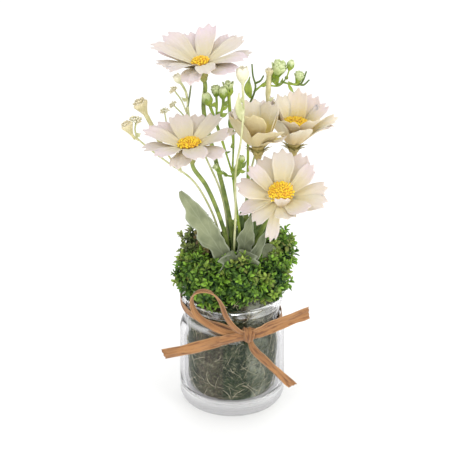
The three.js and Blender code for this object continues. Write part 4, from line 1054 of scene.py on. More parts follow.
# stalk: the main stalk above the moss. twigs: each carries the head of the same place in heads.
# heads: kind, size and the radius of the twig below it. shoots: bare twigs. leaves: single leaves.
GREEN_SPRAYS = [
    dict(name="green_spray_1", seed=1310, root=(5, -6),
         stalk=[(5.5, -5.5, 115), (2, -3, 145), (0, -1, 166)],
         twigs=[
             [(0, -1, 163), (-7.5, 5.5, 186), (-12, 5.8, 200), (-15.5, 5.5, 210)],
             [(-10.7, 5.7, 195.5), (-10, 7.5, 207), (-10.5, 8, 215)],
             [(-10.4, 5.6, 194.5), (-6, 7, 206), (-6, 6, 214)],
             [(0, -1, 164), (0.5, 6, 184), (-1.5, 9, 200), (-2.5, 9, 215)],
             [(0, -1, 161), (-5, -5, 164), (-9, -6, 168)],
             [(0, -1, 162), (5, -5, 168), (6, -6, 174)],
         ],
         heads=[("bud", 3.3, 1.0), ("cabbage", 3.2, 0.8), ("bud", 3.0, 1.0), ("open", 3.2, 1.1),
                ("open", 1.8, 0.5), ("bud", 1.9, 0.5)],
         shoots=[],
         leaves=[[(-0.5, 8, 188), (0, 12, 194), (-1, 13, 201)],
                 [(0, -1, 159), (5, 1, 167), (5, 2, 175)]]),
    dict(name="green_spray_2", seed=1311, root=(9, 10),
         stalk=[(9.5, 11, 115), (10, 15, 150), (10.3, 20, 182), (11, 20, 204)],
         twigs=[
             [(13.6, 20, 211), (20, 21.5, 216), (26, 22, 218.5), (28.6, 22, 224)],
             [(20, 21.5, 216), (30, 24, 214), (34.6, 23, 220), (36.8, 22, 227.4)],
             [(32, 23.6, 216.6), (38, 23, 215.4), (41.4, 23, 215.8), (42.4, 23, 219)],
         ],
         heads=[("cabbage", 5.2, 1.0), ("bud", 2.5, 0.5), ("cabbage", 3.3, 0.7)],
         shoots=[
             [(10.9, 20, 202), (14.8, 20, 214.5), (13.1, 20, 222), (12.4, 20, 230)],
             [(38, 23.2, 215.4), (43, 24, 214.6), (45, 23.4, 217), (47.4, 23, 224)],
             [(41.5, 23.4, 215.9), (45.5, 24, 214.4), (49.5, 24, 218)],
             [(14.6, 20, 217), (18, 19.6, 219), (20, 21, 222)],
         ],
         leaves=[[(11.9, 20, 207), (8.4, 18, 214), (11.2, 19, 222)],
                 [(29, 23.4, 214.6), (25.4, 21, 220), (30.6, 20, 229)]]),
]
PALE_SPRAYS = [
    dict(name="pale_spray_1", seed=1213, root=(-10, -1),
         stalk=[(-9, -2, 110), (-9, -2, 122), (-15, -1, 140), (-26, 1, 158), (-41, 0, 170),
                (-54, -1, 181), (-62, -2, 189)],
         twigs=[
             [(-60, -2, 186.5), (-63.5, -3, 190), (-65.5, -3.5, 194)],
             [(-60.5, -2, 187), (-62, 0, 192), (-61.5, 0, 197.5)],
             [(-34, 1, 164), (-45, 8, 178), (-51, 8, 191), (-57, 7, 204)],
             [(-33, 1, 163), (-36, 10, 176), (-42, 14, 190), (-43.5, 13, 199.5)],
         ],
         heads=[("funnel", 3.6, 0.9), ("tuft", 4.0, 0.6), ("funnel", 4.4, 1.5), ("tuft", 2.7, 0.5)],
         shoots=[], leaves=[]),
    dict(name="pale_spray_2", seed=1214, root=(-4, 10),
         stalk=[(-3, 10.5, 116), (-7, 14, 142), (-17, 18, 166), (-27, 18, 190), (-29, 18, 206)],
         twigs=[
             [(-28.6, 18, 200), (-30, 18, 212), (-34, 18, 219.5)],
             [(-27.5, 18, 192), (-33, 19, 206), (-37, 19, 212)],
             [(-26.6, 18, 188), (-32, 19, 196), (-37.5, 19, 202)],
         ],
         heads=[("cup", 2.9, 0.8), ("tuft", 2.9, 0.5), ("tuft", 2.8, 0.5)],
         shoots=[[(-28.8, 18, 202), (-27.4, 19, 210), (-26.6, 19, 216)]], leaves=[]),
    dict(name="pale_spray_3", seed=1215, root=(1, -11),
         stalk=[(1, -11.5, 112), (2, -12, 140), (2, -14, 170), (5, -20, 192), (7, -18, 214)],
         twigs=[[(7, -18, 211), (6.4, -16, 224), (6, -15, 233)]],
         heads=[("cup", 4.3, 0.8)],
         shoots=[], leaves=[[(7, -18.5, 205), (2.4, -17.5, 213), (4, -16.5, 224)]]),
    dict(name="pale_spray_4", seed=1216, root=(6, 15),
         stalk=[(7, 17, 116), (11, 20, 150), (18, 19, 182), (21.6, 18, 200)],
         twigs=[[(21.5, 18, 198), (22.9, 18.5, 211), (23.4, 19.5, 223)]],
         heads=[("funnel", 2.6, 1.7)],
         shoots=[], leaves=[]),
]


TUFT_FLORETS = 26
STALK_RINGS = 70
TWIG_RINGS = 18


def add_whorl(pile, place, turn, count, size, reach, height, half, spin, tone, blunt=True):
    """A ring of small blades that lean from the first reach and height to the last, by size."""
    v, u = grid(7, 5)
    outline = np.sin(np.pi * (0.2 + 0.76 * v)) ** 0.8
    if blunt:
        outline = np.minimum(1, 0.45 + 1.3 * v) * np.sqrt(1 - 0.9 * v ** 5)
    out = size * (mix(reach[0], reach[1], v ** 1.4) - 0.16 * (2 * u - 1) ** 2)
    side = (2 * u - 1) * size * half * outline
    for i in range(count):
        tall = size * (mix(height[0], height[1], v) + 0.08 * np.sin(9 * u + i) * v)
        blade = swung(out, side, tall, 2 * math.pi * i / count + spin)
        add_sheet(pile, blade[:, ::-1] @ turn + place, BUD_PETAL_THICKNESS, tone)


def add_sepals(pile, place, aim, size, own):
    """The small green cup under a bud, with pointed sepals."""
    cup = [[0.5, -size * 1.1], [size * 0.5, -size * 0.75], [size * 0.92, -size * 0.1],
           [size * 0.9, size * 0.35], [0.1, size * 0.4]]
    add_turned(pile, rounded(cup, 2), 12, (own, 0.1, 0), place, aim, 5, 0.1)
    add_whorl(pile, place, axes_for(aim), 5, size, (0.95, 0.98), (0, 1.05), 0.5, own, (own, 0.1, 0), False)


def add_bud(pile, place, aim, size, random):
    """A round pale bud, its petals folded over one another, in a cup of sepals."""
    own = random.random()
    heart = [[0.2, 0], [size * 0.85, size * 0.2], [size * 0.95, size * 0.8], [size * 0.8, size * 1.4],
             [size * 0.4, size * 1.75], [0.1, size * 1.8]]
    add_sepals(pile, place, aim, size, own)
    add_turned(pile, rounded(heart, 2), 15, (own, 1.6, 0), place, aim, 5, 0.12)
    add_whorl(pile, place, axes_for(aim), 5, size, (1.0, 0.45), (0.2, 1.95), 0.7, own * 3, (own, 1.9, 0))


def add_open_bud(pile, place, aim, size, random):
    """A bud about to open: its outer petals stand clear of the inner ones."""
    own = random.random()
    turn = axes_for(aim)
    heart = [[0.2, 0], [size * 0.7, size * 0.5], [size * 0.7, size * 1.3], [0.1, size * 1.5]]
    add_sepals(pile, place, aim, size, own)
    add_turned(pile, rounded(heart, 2), 12, (own, 1.2, 0), place, aim, 5, 0.14)
    add_whorl(pile, place, turn, 5, size, (0.8, 1.25), (0.6, 2.1), 0.6, own * 3, (own, 1.6, 0))
    add_whorl(pile, place, turn, 4, size, (0.4, 0.6), (0.8, 2.3), 0.5, own * 5, (own, 1.8, 0))


def add_cabbage_bud(pile, place, aim, size, random):
    """A full bud like a small cabbage: rings of broad petals about a round heart."""
    own = random.random()
    turn = axes_for(aim)
    heart = [[0.2, -size * 0.5], [size * 0.7, -size * 0.2], [size * 0.85, size * 0.5],
             [size * 0.6, size * 1.1], [0.1, size * 1.25]]
    add_turned(pile, rounded(heart, 2), 15, (own, 1.7, 0), place, aim, 5, 0.16)
    for ring, (count, out, top) in enumerate(((5, 1.12, 0.95), (5, 0.95, 1.3), (4, 0.62, 1.5))):
        add_whorl(pile, place, turn, count, size, (0.5, out), (-0.45 + 0.3 * ring, top), 0.62,
                  own * 7 + ring * 0.7, (own, 1.3 + 0.3 * ring, 0))
    add_whorl(pile, place, turn, 4, size, (0.45, 0.9), (-0.75, 0.25), 0.4, own, (own, 0, 0), False)


def add_funnel(pile, place, aim, size, random):
    """A withered floret: a long funnel with a swollen, ruffled mouth and a few stamens in it."""
    own = random.random()
    turn = axes_for(aim)
    funnel = [[0.16, -1.9], [0.26, -1.1], [0.46, -0.4], [0.76, 0.3], [1.0, 0.85], [1.04, 1.15],
              [0.8, 1.3], [0.45, 1.1], [0.05, 1.0]]
    skin = [[r * size, z * size] for r, z in funnel]
    add_turned(pile, rounded(skin, 2), 25, (own, 1.1, 0.3), place, aim, 5, 0.26)
    add_whorl(pile, place, turn, 5, size, (0.5, 1.05), (0.5, 1.5), 0.6, own, (own, 1.3, 0.2))
    add_whorl(pile, place, turn, 4, size, (0.3, 0.6), (0.8, 1.7), 0.5, own * 4, (own, 1.3, 0.25))
    add_tuft(pile, np.asarray(place) + unit(aim) * size * 0.7, aim, size * 0.75, random)


def add_tuft(pile, place, aim, size, random):
    """A small head of crowded florets: short stalks that fan out, each with a knob at its end."""
    turn = axes_for(aim)
    for i in range(TUFT_FLORETS):
        out = direction(1.3 * math.sqrt((i + 0.5) / TUFT_FLORETS), i * SPIRAL_TURN) @ turn
        tip = place + out * size * random.uniform(0.75, 1.2)
        own = random.random()
        add_tube(pile, [place, mix(place, tip, 0.5), tip], [0.16, 0.14, 0.18], 5, (own, 0.4, 0))
        knob = [[0.15, -0.5], [0.42, -0.1], [0.5, 0.35], [0.1, 0.6]]
        add_turned(pile, np.array(knob) * size * random.uniform(0.3, 0.42), 7, (own, 1.4, 0.3 * own),
                   tip, out, 3, 0.2)


def add_cup(pile, place, aim, size, random):
    """A smooth pale cup of broad petals, closed over at the top like a tulip."""
    own = random.random()
    cup = [[0.14, -1.1], [0.3, -0.7], [0.75, -0.15], [0.95, 0.5], [0.92, 1.15], [0.7, 1.3],
           [0.05, 1.15]]
    skin = [[r * size, z * size] for r, z in cup]
    add_turned(pile, rounded(skin, 2), 20, (own, 1.9, 0), place, aim, 5, 0.06)
    add_whorl(pile, place, axes_for(aim), 5, size, (0.7, 0.86), (-0.2, 1.62), 0.62, own, (own, 2.2, 0))


ADD_HEAD = dict(bud=add_bud, open=add_open_bud, cabbage=add_cabbage_bud, funnel=add_funnel,
                tuft=add_tuft, cup=add_cup)


def add_small_leaf(pile, points, width, random):
    """A small pointed leaf along three points, folded along its rib."""
    start, over, tip = map(np.asarray, points)
    v, u = grid(10, 5)
    s = v[..., None]
    spine = bent(start, over, tip, s)
    ahead = unit(2 * (1 - s) * (over - start) + 2 * s * (tip - over))
    side = unit(np.cross(ahead, [0.2, 1, 0]))
    half = width * (0.10 + 0.90 * np.sin(np.pi * np.minimum(v + 0.06, 1)) ** 1.2)
    fold = (-np.abs(2 * u - 1) * 0.13 + 0.03 * np.sin(v * 14)) * width
    middle = spine + side * ((u - 0.5) * half)[..., None] + np.array([0, 1, 0]) * fold[..., None]
    add_sheet(pile, middle, SMALL_LEAF_THICKNESS, (random.random(), 0.3, 0))


def make_spray(plant, material, slot, radius, bracts):
    """A stalk with its twigs and heads, and small leaves and bracts beside them."""
    pile = Pile()
    random = np.random.default_rng(plant["seed"])
    stalk = even_points([*rooted(plant["root"]), *plant["stalk"]], STALK_RINGS)
    taper = np.linspace(radius, radius * 0.72, STALK_RINGS)
    add_tube(pile, stalk, taper, 9, (0.3, 0, 0), 0.06, 4)
    along = np.linspace(0, 1, TWIG_RINGS)
    for twig, (kind, size, thick) in zip(plant["twigs"], plant["heads"]):
        path = even_points(twig, TWIG_RINGS)
        radii = np.interp(along, [0, 0.25, 0.5, 1], [0.68, 0.6, thick, thick])
        dry = 0.22 if kind == "funnel" else 0
        add_tube(pile, path, radii, 10, (random.random(), 0.1, dry), 0.1, 3)
        aim = path[-1] - path[-3]
        ADD_HEAD[kind](pile, path[-1], aim, size, random)
        for k in range(bracts):
            knot = path[5 + 3 * k]
            lean = unit(unit(aim) * 0.8 + random.normal(0, 0.6, 3))
            tip = knot + lean * random.uniform(4, 7.5)
            bend = (knot + tip) / 2 + [0, 0, -1]
            add_small_leaf(pile, (knot, bend, tip), random.uniform(1.6, 3.4), random)
    for shoot in plant["shoots"]:
        add_tube(pile, even_points(shoot, TWIG_RINGS), np.linspace(0.8, 0.5, TWIG_RINGS), 7,
                 (random.random(), -0.7, 0))
    for leaf in plant["leaves"]:
        add_small_leaf(pile, leaf, 5.2, random)
    pile.piece(plant["name"], material, [plant["name"]], slot)


# ---------------------------------------------------------------- leaves on stalks

LEAF_ROWS = 44
LEAF_COLUMNS = 13
SILVER_ROOT = (4, -13)
SILVER_FORK = (4, -13.5, 100)
# spine: from the fork to the tip. across: the way the blade lies, at its start and at its tip.
# cup: how far its edges rise. pointed: how far the tip narrows. A notched leaf has a cut-in end.
SILVER_LEAVES = [
    dict(width=16, lobes=4, across=((0.9, -0.2, 0.3), (0.75, -0.2, 0.6)), cup=1.8, pale=1,
         pointed=0.5, spine=[SILVER_FORK, (-6, -14, 112), (-18.5, -11, 131), (-33.5, -6, 153)]),
    dict(width=27, lobes=2, across=((0.9, 0.4, 0), (1, 0.1, 0.1)), cup=2.6, pale=0.25,
         notched=True, spine=[SILVER_FORK, (3, -19, 103), (3, -21, 108), (2, -19.5, 118)]),
    dict(width=12, lobes=3, across=((-0.1, 0.3, 0.9), (-0.5, 0.2, 0.85)), cup=1.6, pale=0.3,
         spine=[SILVER_FORK, (13, -13, 104), (20, -11, 109), (27, -8, 115)]),
    dict(width=11, lobes=3, across=((1, 0.2, 0), (1, 0.1, -0.2)), cup=1.2, pale=0.6,
         pointed=0.75, spine=[SILVER_FORK, (6.5, -12, 110), (9, -11, 125), (12, -11, 138)]),
    dict(width=7, lobes=2, across=((1, -0.2, 0), (0.9, 0, -0.4)), cup=0.8, pale=0.3,
         pointed=0.75, spine=[SILVER_FORK, (11, -16, 107), (16, -17, 117), (22, -16.5, 130)]),
]
NARROW_ROOT = (9, -2)
NARROW_FORK = (9, -2, 106)
NARROW_LEAVES = [
    dict(width=7, lobes=0, across=((1, 0, 0), (1, 0, -0.3)), cup=0.9,
         spine=[NARROW_FORK, (10.5, -4, 119), (13, -5, 133), (17, -6, 146)]),
    dict(width=6, lobes=0, across=((0.9, 0.3, -0.3), (0.8, 0.2, -0.6)), cup=0.9,
         spine=[NARROW_FORK, (14, -0.5, 116), (20, 0, 126), (25, 0, 134)]),
    dict(width=6, lobes=0, across=((0.9, -0.3, 0), (0.9, -0.3, -0.3)), cup=0.9,
         spine=[NARROW_FORK, (7, -1.5, 116), (6, -0.5, 126), (5.5, 0, 136)]),
    dict(width=6.5, lobes=0, across=((1, 0.2, 0), (0.9, 0.4, 0)), cup=0.9,
         spine=[NARROW_FORK, (4, 4, 112), (0, 7, 119), (-3, 8, 127)]),
    dict(width=5.5, lobes=0, across=((1, 0.3, 0), (0.9, 0.4, 0)), cup=0.9,
         spine=[NARROW_FORK, (11, 3, 112), (12, 6, 121), (13, 8, 131)]),
]


def blunt_outline(v):
    """The width of a lobed leaf along its length, as a part of its greatest width."""
    widest = 0.56
    rise = 0.3 + 0.7 * np.sin((np.pi / 2) * np.minimum(v / widest, 1))
    fall = np.sqrt(1 - 0.93 * (np.maximum(v - widest, 0) / (1 - widest)) ** 2.4)
    return np.where(v < widest, rise, fall)


def add_leaf(pile, leaf, tone):
    """A leaf blade. A lobed one has scalloped, wavy edges, and a plain one a straight fold."""
    v, u = grid(LEAF_ROWS, LEAF_COLUMNS)
    path = even_points(leaf["spine"], LEAF_ROWS)
    ahead = tangents(path)
    first, last = (np.asarray(side, float) for side in leaf["across"])
    side = squared(mix(first, last, v[:, :1]), ahead)
    face = np.cross(side, ahead)
    edge = 2 * u - 1
    if leaf["lobes"]:
        outline = blunt_outline(v)
        if leaf.get("pointed"):
            outline = outline * (1 - leaf["pointed"] * np.maximum(v - 0.5, 0) / 0.5 * v ** 2)
        wave = 2 * np.pi * leaf["lobes"] * v
        scallop = 1.08 - 0.36 * np.abs(np.sin(wave / 2 + 0.6)) ** 4 * (0.3 + 0.7 * (edge < 0))
        scallop = scallop + 0.04 * np.cos(wave * 2.3 + 2 + edge)
        ripple = 1.0 * edge ** 2 * np.sin(wave + 2.2 + edge) + 0.3 * np.sin(wave * 1.7 + 3 * edge)
    else:
        outline = np.sin(np.pi * (0.1 + 0.88 * v)) ** 0.7
        scallop, ripple = 1, 0.1 * np.sin(20 * v)
    lift = leaf["cup"] * edge ** 2 * outline + ripple * outline - 0.35 * np.exp(-(edge * 7) ** 2)
    middle = (path[:, None] + side[:, None] * ((u - 0.5) * leaf["width"] * outline * scallop)[..., None]
              + face[:, None] * lift[..., None])
    if leaf.get("notched"):
        notch = (0.5 + 0.5 * np.cos(3.2 * np.pi * u + 0.9)) * 4.2 * v ** 3
        middle = middle - ahead[:, None] * notch[..., None]
    add_sheet(pile, middle, LEAF_THICKNESS, tone)


def make_leaves(name, material, slot, root, fork, leaves):
    """A stalk with the leaves that part from its fork."""
    pile = Pile()
    add_tube(pile, even_points([*rooted(root), fork], 24), 0.8, 9, (0.3, 0, 0), 0.06, 4)
    for i, leaf in enumerate(leaves):
        add_leaf(pile, leaf, (leaf.get("pale", i / len(leaves)), 0, 0))
    pile.piece(name, material, [name], slot)


# ---------------------------------------------------------------- bushy foliage

CLUMPS = [
    dict(name="foliage_1", seed=101, middle=(5, -23, 98), radii=(14, 12, 17.5), root=(5, -21)),
    dict(name="foliage_2", seed=102, middle=(24, -12, 95.5), radii=(14, 13.5, 15.5), root=(18, -11)),
    dict(name="foliage_3", seed=103, middle=(27.5, 11, 101), radii=(14, 14.5, 20.5), root=(20, 8)),
    dict(name="foliage_4", seed=104, middle=(6, 25, 97), radii=(15, 12, 18), root=(3, 21)),
    dict(name="foliage_5", seed=105, middle=(-21, 14, 101), radii=(14, 14, 21), root=(-16, 12),
         dry=True),
    dict(name="foliage_6", seed=106, middle=(-24, -6, 94.5), radii=(13, 13, 14), root=(-20, -4)),
    dict(name="foliage_7", seed=107, middle=(-12, -21, 94), radii=(13, 12, 14.5), root=(-9, -19)),
]
SPRIGS = 78
SPRIG_LEAFLETS = 11


def standing_lines():
    """Points along what stands among the clumps, so that sprigs keep off it."""
    lines = [[*rooted(b["root"]), *b["stem"]] for b in BLOOMS]
    lines += [[*rooted(p["root"]), *p["stalk"]] for p in GREEN_SPRAYS + PALE_SPRAYS]
    lines += [leaf["spine"] for leaf in SILVER_LEAVES + NARROW_LEAVES]
    return np.concatenate([even_points(line, 60) for line in lines])


def leaflet_shape():
    """One leaflet along +X: a closed, folded, pointed oval, one long, in rows of four points."""
    rows = [(0.0, 0.10), (0.28, 0.75), (0.6, 1.1), (0.86, 0.8), (1.0, 0.15)]
    points, along = [], []
    for x, half in rows:
        droop = -0.22 * x ** 2
        points += [(x, half * 0.3, droop + 0.10 * half), (x, 0, droop - 0.03),
                   (x, -half * 0.3, droop + 0.10 * half), (x, 0, droop - 0.09)]
        along += [(0, x), (0.5, x), (1, x), (0.5, x)]
    faces = [(0, 1, 2, 3)]
    for j in range(len(rows) - 1):
        for i in range(4):
            a, b = j * 4 + i, j * 4 + (i + 1) % 4
            faces.append((a, a + 4, b + 4, b))
    last = (len(rows) - 1) * 4
    faces.append((last + 3, last + 2, last + 1, last))
    return np.array(points), faces, np.array(along)


LEAFLET = leaflet_shape()


def keeps_off(place, centre, others, lines):
    """False where a neighbouring clump, the glass, the moss or a stalk has the room."""
    for other in others:
        away = unit(centre - other)
        if np.dot(place - (centre + other) / 2, away) < -2:
            return False
    reach = np.hypot(place[0], place[1])
    if reach < 35.5 and place[2] < JAR_HEIGHT + 1.2:
        return False
    if reach < 8 and place[2] > 92:
        return False
    return np.min(np.linalg.norm(lines - place, axis=1)) > 2.2


def swing(points, first, second, angle):
    """Turns the points in the plane of two axes, in place."""
    a, b = points[:, first].copy(), points[:, second].copy()
    points[:, first] = a * math.cos(angle) - b * math.sin(angle)
    points[:, second] = a * math.sin(angle) + b * math.cos(angle)


def add_sprig(pile, place, aim, size, depth, random):
    """A short shoot with leaflets in a spiral, closed at its tip and open lower down."""
    turn = axes_for(aim)
    points, faces, along = LEAFLET
    sprig = random.random()
    add_tube(pile, [place - unit(aim) * size * 1.2, place, place + unit(aim) * size * 0.5],
             [0.3, 0.26, 0.15], 5, (0.2, depth * 0.5, 0.2))
    spin = random.uniform(0, 6.3)
    for i in range(SPRIG_LEAFLETS):
        share = i / (SPRIG_LEAFLETS - 1)
        rise = mix(-0.1, 1.2, share) + random.uniform(-0.2, 0.2)
        length = size * mix(1.0, 0.6, share) * random.uniform(0.8, 1.2)
        roll = random.uniform(-0.4, 0.4)
        shape = points * [length, length * random.uniform(0.72, 1.05), length]
        swing(shape, 1, 2, roll)
        swing(shape, 0, 2, rise)
        swing(shape, 0, 1, spin + i * SPIRAL_TURN)
        shape[:, 2] += size * mix(-0.7, 0.35, share)
        # Painted shade: tone y grows towards the sprig's tip and on outer sprigs, and the foliage material
        # makes those leaflets brighter and the rest darker.
        out = min(1.0, 0.4 * depth ** 2 + 0.8 * share ** 1.5)
        pile.add(shape @ turn + place, faces, along, (random.random(), out, sprig))


def make_clump(clump, lines):
    """A round clump: sprigs over and inside an oval, on twigs from its middle, and a stalk."""
    pile = Pile()
    random = np.random.default_rng(clump["seed"])
    centre, radii = np.array(clump["middle"], float), np.array(clump["radii"], float)
    others = [np.array(other["middle"], float) for other in CLUMPS if other is not clump]
    for i in range(SPRIGS):
        height = 1 - 2 * (i + 0.5) / SPRIGS
        around = i * GOLDEN_TURN + random.uniform(0, 0.3)
        flat = math.sqrt(1 - height * height)
        outward = np.array([flat * math.cos(around), flat * math.sin(around), height])
        layer = random.random() ** 0.7
        reach = mix(0.5, 1.0, layer) + (0.14 if i % 9 == 0 else 0)
        place = centre + outward * radii * reach
        if not keeps_off(place, centre, others, lines):
            continue
        aim = unit(outward + [0, 0, 0.35] + random.normal(0, 0.22, 3))
        add_sprig(pile, place, aim, random.uniform(4.6, 6.6), layer, random)
        if layer > 0.3:
            twig = even_points([centre, mix(centre, place, 0.5) + [0, 0, -1], place], 6)
            add_tube(pile, twig, 0.4, 5, (0.1, 0.1, 0.2))
    stalk = even_points([(*clump["root"], ROOT_Z + 4), (*clump["root"], 86), centre], 12)
    add_tube(pile, stalk, 1.1, 8, (0.1, 0.1, 0.2))
    material, slot = (DRY_FOLIAGE, "dry_foliage") if clump.get("dry") else (FOLIAGE, "foliage")
    pile.piece(clump["name"], material, [clump["name"]], slot)


# ---------------------------------------------------------------- raffia tie

KNOT = (10, -36.8, 65)
KNOT_THICKNESS = 0.5
# The two turns of the knot: how far they lean, their place and width across, and their reach.
KNOT_TURNS = [(0.30, 0.9, 7.6, 3.5), (-0.35, -0.9, 4.8, 3.1)]
BAND_Z = 68
BAND_DROP = 5.5
BAND_WIDTH = 4.4
STRIP_SEEDS = (1.2, 2.55, 3.9)
STRIP_COLUMNS = 13
STRIPS = [
    dict(width=(6.2, 7.4), across=[(-0.25, 0, 1), (-0.2, 0.1, 1)], crease=0.9,
         points=[KNOT, (-3, -40.5, 63.8), (-11.2, -41.5, 62.2), (-27.4, -43, 58.2), (-44.5, -44, 55)]),
    dict(width=(6.4, 8.2), across=[(-0.3, 0, 1), (-0.25, 0, 1)], crease=0.8,
         points=[KNOT, (16, -39.6, 67.6), (25, -39.5, 72), (37, -37, 76), (49.5, -33.5, 79.6)]),
    dict(width=(3.6, 5.6), across=[(0.75, 0, 0.7), (0.7, 0, 0.72)], crease=0.6,
         points=[KNOT, (13.5, -40, 57), (21.1, -41, 48.6), (31, -41.6, 38.8), (39.4, -42, 30.6)]),
]
LOOP = dict(
    width=(4.6, 4.6), crease=0.3,
    points=[KNOT, (3, -40, 70), (-4, -41, 80), (-8.6, -41.5, 92.5), (-14.5, -41.5, 98.3),
            (-21, -41, 98.6), (-25.6, -40, 94.5), (-26, -38.5, 87.5), (-23, -38.5, 80.5),
            (-15, -38, 73), (-4, -38.4, 67.5), KNOT],
    across=[(0.85, -0.2, 0.5), (0.8, -0.3, 0.45), (0.75, -0.45, 0.4), (0.5, -0.8, 0.2),
            (0.1, -1, 0), (0, -1, 0), (-0.25, -1, 0), (-0.5, -0.85, 0.1), (-0.4, -0.7, -0.5),
            (-0.3, -0.5, -0.8), (-0.1, -0.3, -0.95), (0, -0.2, -1)])


def crumple(u, v, seed, size):
    """Lengthwise folds and small creases of a flat strip."""
    return size * (0.5 * np.sin(2 * np.pi * (1.5 * u + 0.6 * np.sin(3 * v + seed)) + seed)
                   + 0.35 * np.sin(2 * np.pi * (3.2 * u + v * 1.7) + 2 * seed)
                   + 0.3 * np.sin(23 * v + 5 * u + seed) + 0.2 * np.sin(47 * v - 6 * u))


def add_strip(pile, strip, rows, seed):
    """A flat creased strip along its points, cut off at a slant."""
    v, u = grid(rows, STRIP_COLUMNS)
    path = curve_points(strip["points"], v[:, 0])
    ahead = tangents(path)
    side = squared(curve_points(strip["across"], v[:, 0]), ahead)
    face = np.cross(side, ahead)
    spread = mix(strip["width"][0], strip["width"][1], np.minimum(1, v * 2.2))
    spread = spread * (1 + 0.05 * np.sin(11 * v + seed) + 0.03 * np.sin(29 * v))
    lift = strip["crease"] * (1 - np.abs(2 * u - 1)) + crumple(u, v, seed, 0.45)
    middle = (path[:, None] + side[:, None] * ((u - 0.5) * spread)[..., None]
              + face[:, None] * lift[..., None])
    slant = np.linspace(-0.9, 0.9, STRIP_COLUMNS)
    slant = slant + 0.25 * np.sin(np.linspace(0, 17, STRIP_COLUMNS) + seed)
    middle[-1] += slant[:, None] * ahead[-1]
    add_sheet(pile, middle, RAFFIA_THICKNESS, (seed % 1, 0, 0))


def add_band(pile):
    """The band leaves the knot to the left, goes round behind, and comes back lower."""
    knot_bearing = math.degrees(math.atan2(KNOT[1], KNOT[0]))
    knot_reach = math.hypot(KNOT[0], KNOT[1])
    rows = []
    for v in np.linspace(0, 1, 110):
        bearing = math.radians(knot_bearing - 360 * v)
        middle_z = BAND_Z - BAND_DROP * math.cos(bearing + math.radians(12))
        width = BAND_WIDTH * max(1, 1.5 - v)
        near_knot = max(0, 1 - min(v, 1 - v) * 14)
        row = []
        for u in np.linspace(0, 1, 9):
            edge_z = middle_z + (u - 0.5) * width
            levels = [middle_z + (u - 0.5) * 2 * part * width for part in (0, 0.25, 0.5)]
            clear = max(glass_radius(level) for level in levels)
            clear += 0.95 + float(crumple(np.array(u), np.array(v * 6), 0.4, 0.25))
            reach = mix(clear, knot_reach, near_knot ** 1.5)
            row.append((reach * math.cos(bearing), reach * math.sin(bearing),
                        mix(edge_z, KNOT[2] + (u - 0.5) * 5, near_knot)))
        rows.append(row)
    add_sheet(pile, np.array(rows), RAFFIA_THICKNESS, (0.35, 0, 0))


def add_knot(pile):
    """The strip wound about the crossing: two flat turns, one over the other, on a small core."""
    centre = np.array(KNOT, float)
    core = [[0.1, -5], [2.2, -4.2], [3.2, -1], [3.0, 2], [1.9, 4.2], [0.1, 5]]
    add_turned(pile, rounded(core), 20, (0.6, 0, 0), centre, (0.2, 0, 1), 4, 0.1)
    v, u = grid(61, 17)
    for turn, (lean, shift, width, reach) in enumerate(KNOT_TURNS):
        angle = 2 * math.pi * v * 1.05 + 2 + turn
        across = (u - 0.5) * width * (0.84 + 0.16 * np.sin(angle))
        pleat = 0.45 * np.sin(16 * u + 1.3 * turn + 0.8 * np.sin(angle))
        pleat = pleat + 0.12 * np.sin(7 * angle + 5 * u)
        swell = (1 - 0.3 * (2 * u - 1) ** 2) + 0.10 * v
        y = -(reach + pleat) * np.cos(angle) * swell
        z = (4.7 + 0.7 * pleat) * np.sin(angle) * swell
        wound = np.stack([shift + across + lean * z * 0.5, y, z], -1)
        add_sheet(pile, wound + centre, KNOT_THICKNESS, (0.15 + 0.5 * turn, 0.2, 0))


def make_raffia():
    """The tie: knot, band round the neck, one loop and three loose ends."""
    pile = Pile()
    add_knot(pile)
    add_band(pile)
    add_strip(pile, LOOP, 120, 0.75)
    for strip, seed in zip(STRIPS, STRIP_SEEDS):
        add_strip(pile, strip, 84, seed)
    pile.piece("raffia_bow", RAFFIA, ["raffia_tie"], "raffia")


# ---------------------------------------------------------------- the whole arrangement

make_jar()
make_moss()
for bloom in BLOOMS:
    make_petals(bloom)
    make_disc(bloom)
    make_stem(bloom)
for plant in GREEN_SPRAYS:
    make_spray(plant, GREEN, "green_spray", 1.1, 3)
for plant in PALE_SPRAYS:
    make_spray(plant, PALE, "pale_spray", 0.85, 1)
make_leaves("silver_leaves", FELTED, "silver_leaf", SILVER_ROOT, SILVER_FORK, SILVER_LEAVES)
make_leaves("narrow_leaves", BLADE, "narrow_leaf", NARROW_ROOT, NARROW_FORK, NARROW_LEAVES)
stalk_lines = standing_lines()
for clump in CLUMPS:
    make_clump(clump, stalk_lines)
make_raffia()

# ---------------------------------------------------------------- floor, light and camera

CAMERA_TARGET = (-4.8, 0, 126.5)
CAMERA_DISTANCE = 1200
CAMERA_ELEVATION = 24
CAMERA_LENS = 147.44
LIGHT_TARGET = (0, 0, 0.12)
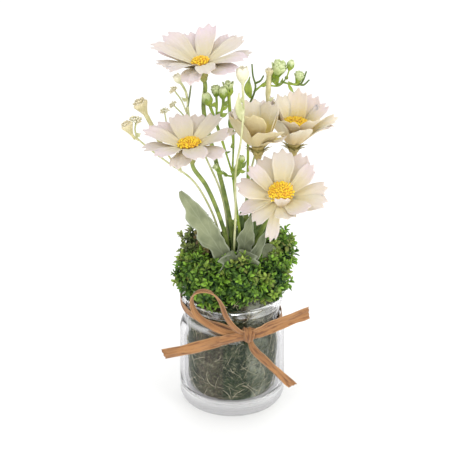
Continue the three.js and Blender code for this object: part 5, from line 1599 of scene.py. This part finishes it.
# Place and size in metres, then power in watts.
SOFTBOXES = {
    "left_softbox": ((-0.75, -0.6, 1.2), (0.55, 0.55), 2.8),
    "right_softbox": ((0.75, -0.6, 1.2), (0.55, 0.55), 2.4),
    "side_softbox": ((1.0, -0.65, 0.5), (0.5, 1.0), 2.5),
    "back_softbox": ((0.1, 0.8, 1.2), (0.7, 0.4), 2.5),
    "front_softbox": ((0.1, -1.4, 0.45), (0.6, 0.5), 6),
}


def make_floor():
    material, shader, w = finish_material("Pale floor", Roughness=0.8)
    grain = w.noise(w.place(), 40.0, 3.0)
    w.feed(shader, Base_Color=w.blend(grain, (0.93, 0.93, 0.93), (0.95, 0.95, 0.95)))
    mesh = bpy.data.meshes.new("floor")
    mesh.from_pydata([(-4, -4, 0), (4, -4, 0), (4, 4, 0), (-4, 4, 0)], [], [(0, 1, 2, 3)])
    mesh.materials.append(material)
    floor = bpy.data.objects.new("floor", mesh)
    bpy.context.scene.collection.objects.link(floor)


def softbox(name, place, size, power):
    """A soft rectangular light that faces the bouquet."""
    lamp = bpy.data.lights.new(name, "AREA")
    lamp.shape = "RECTANGLE"
    lamp.size, lamp.size_y = size
    lamp.energy = power
    light = bpy.data.objects.new(name, lamp)
    light.location = place
    aim = Vector(LIGHT_TARGET) - Vector(place)
    light.rotation_euler = aim.to_track_quat("-Z", "Y").to_euler()
    bpy.context.scene.collection.objects.link(light)


def make_studio():
    """An even pale surround and the softboxes."""
    world = bpy.data.worlds.new("Soft studio")
    world.use_nodes = True
    sky = world.node_tree.nodes["Background"]
    sky.inputs["Color"].default_value = (1, 1, 1, 1)
    sky.inputs["Strength"].default_value = 0.97
    bpy.context.scene.world = world
    for name, (place, size, power) in SOFTBOXES.items():
        softbox(name, place, size, power)
    bpy.context.scene.view_settings.view_transform = "Standard"


def make_camera():
    """A long lens at the photograph's angle."""
    camera = bpy.data.cameras.new("camera")
    camera.lens = CAMERA_LENS
    camera.sensor_width = 36
    camera.clip_start, camera.clip_end = 0.05, 20
    eye = bpy.data.objects.new("camera", camera)
    angle = math.radians(CAMERA_ELEVATION)
    back = Vector((0, -math.cos(angle), math.sin(angle)))
    eye.location = (Vector(CAMERA_TARGET) + back * CAMERA_DISTANCE) * MM
    eye.rotation_euler = (-back).to_track_quat("-Z", "Y").to_euler()
    bpy.context.scene.collection.objects.link(eye)
    bpy.context.scene.camera = eye


make_floor()
make_studio()
make_camera()
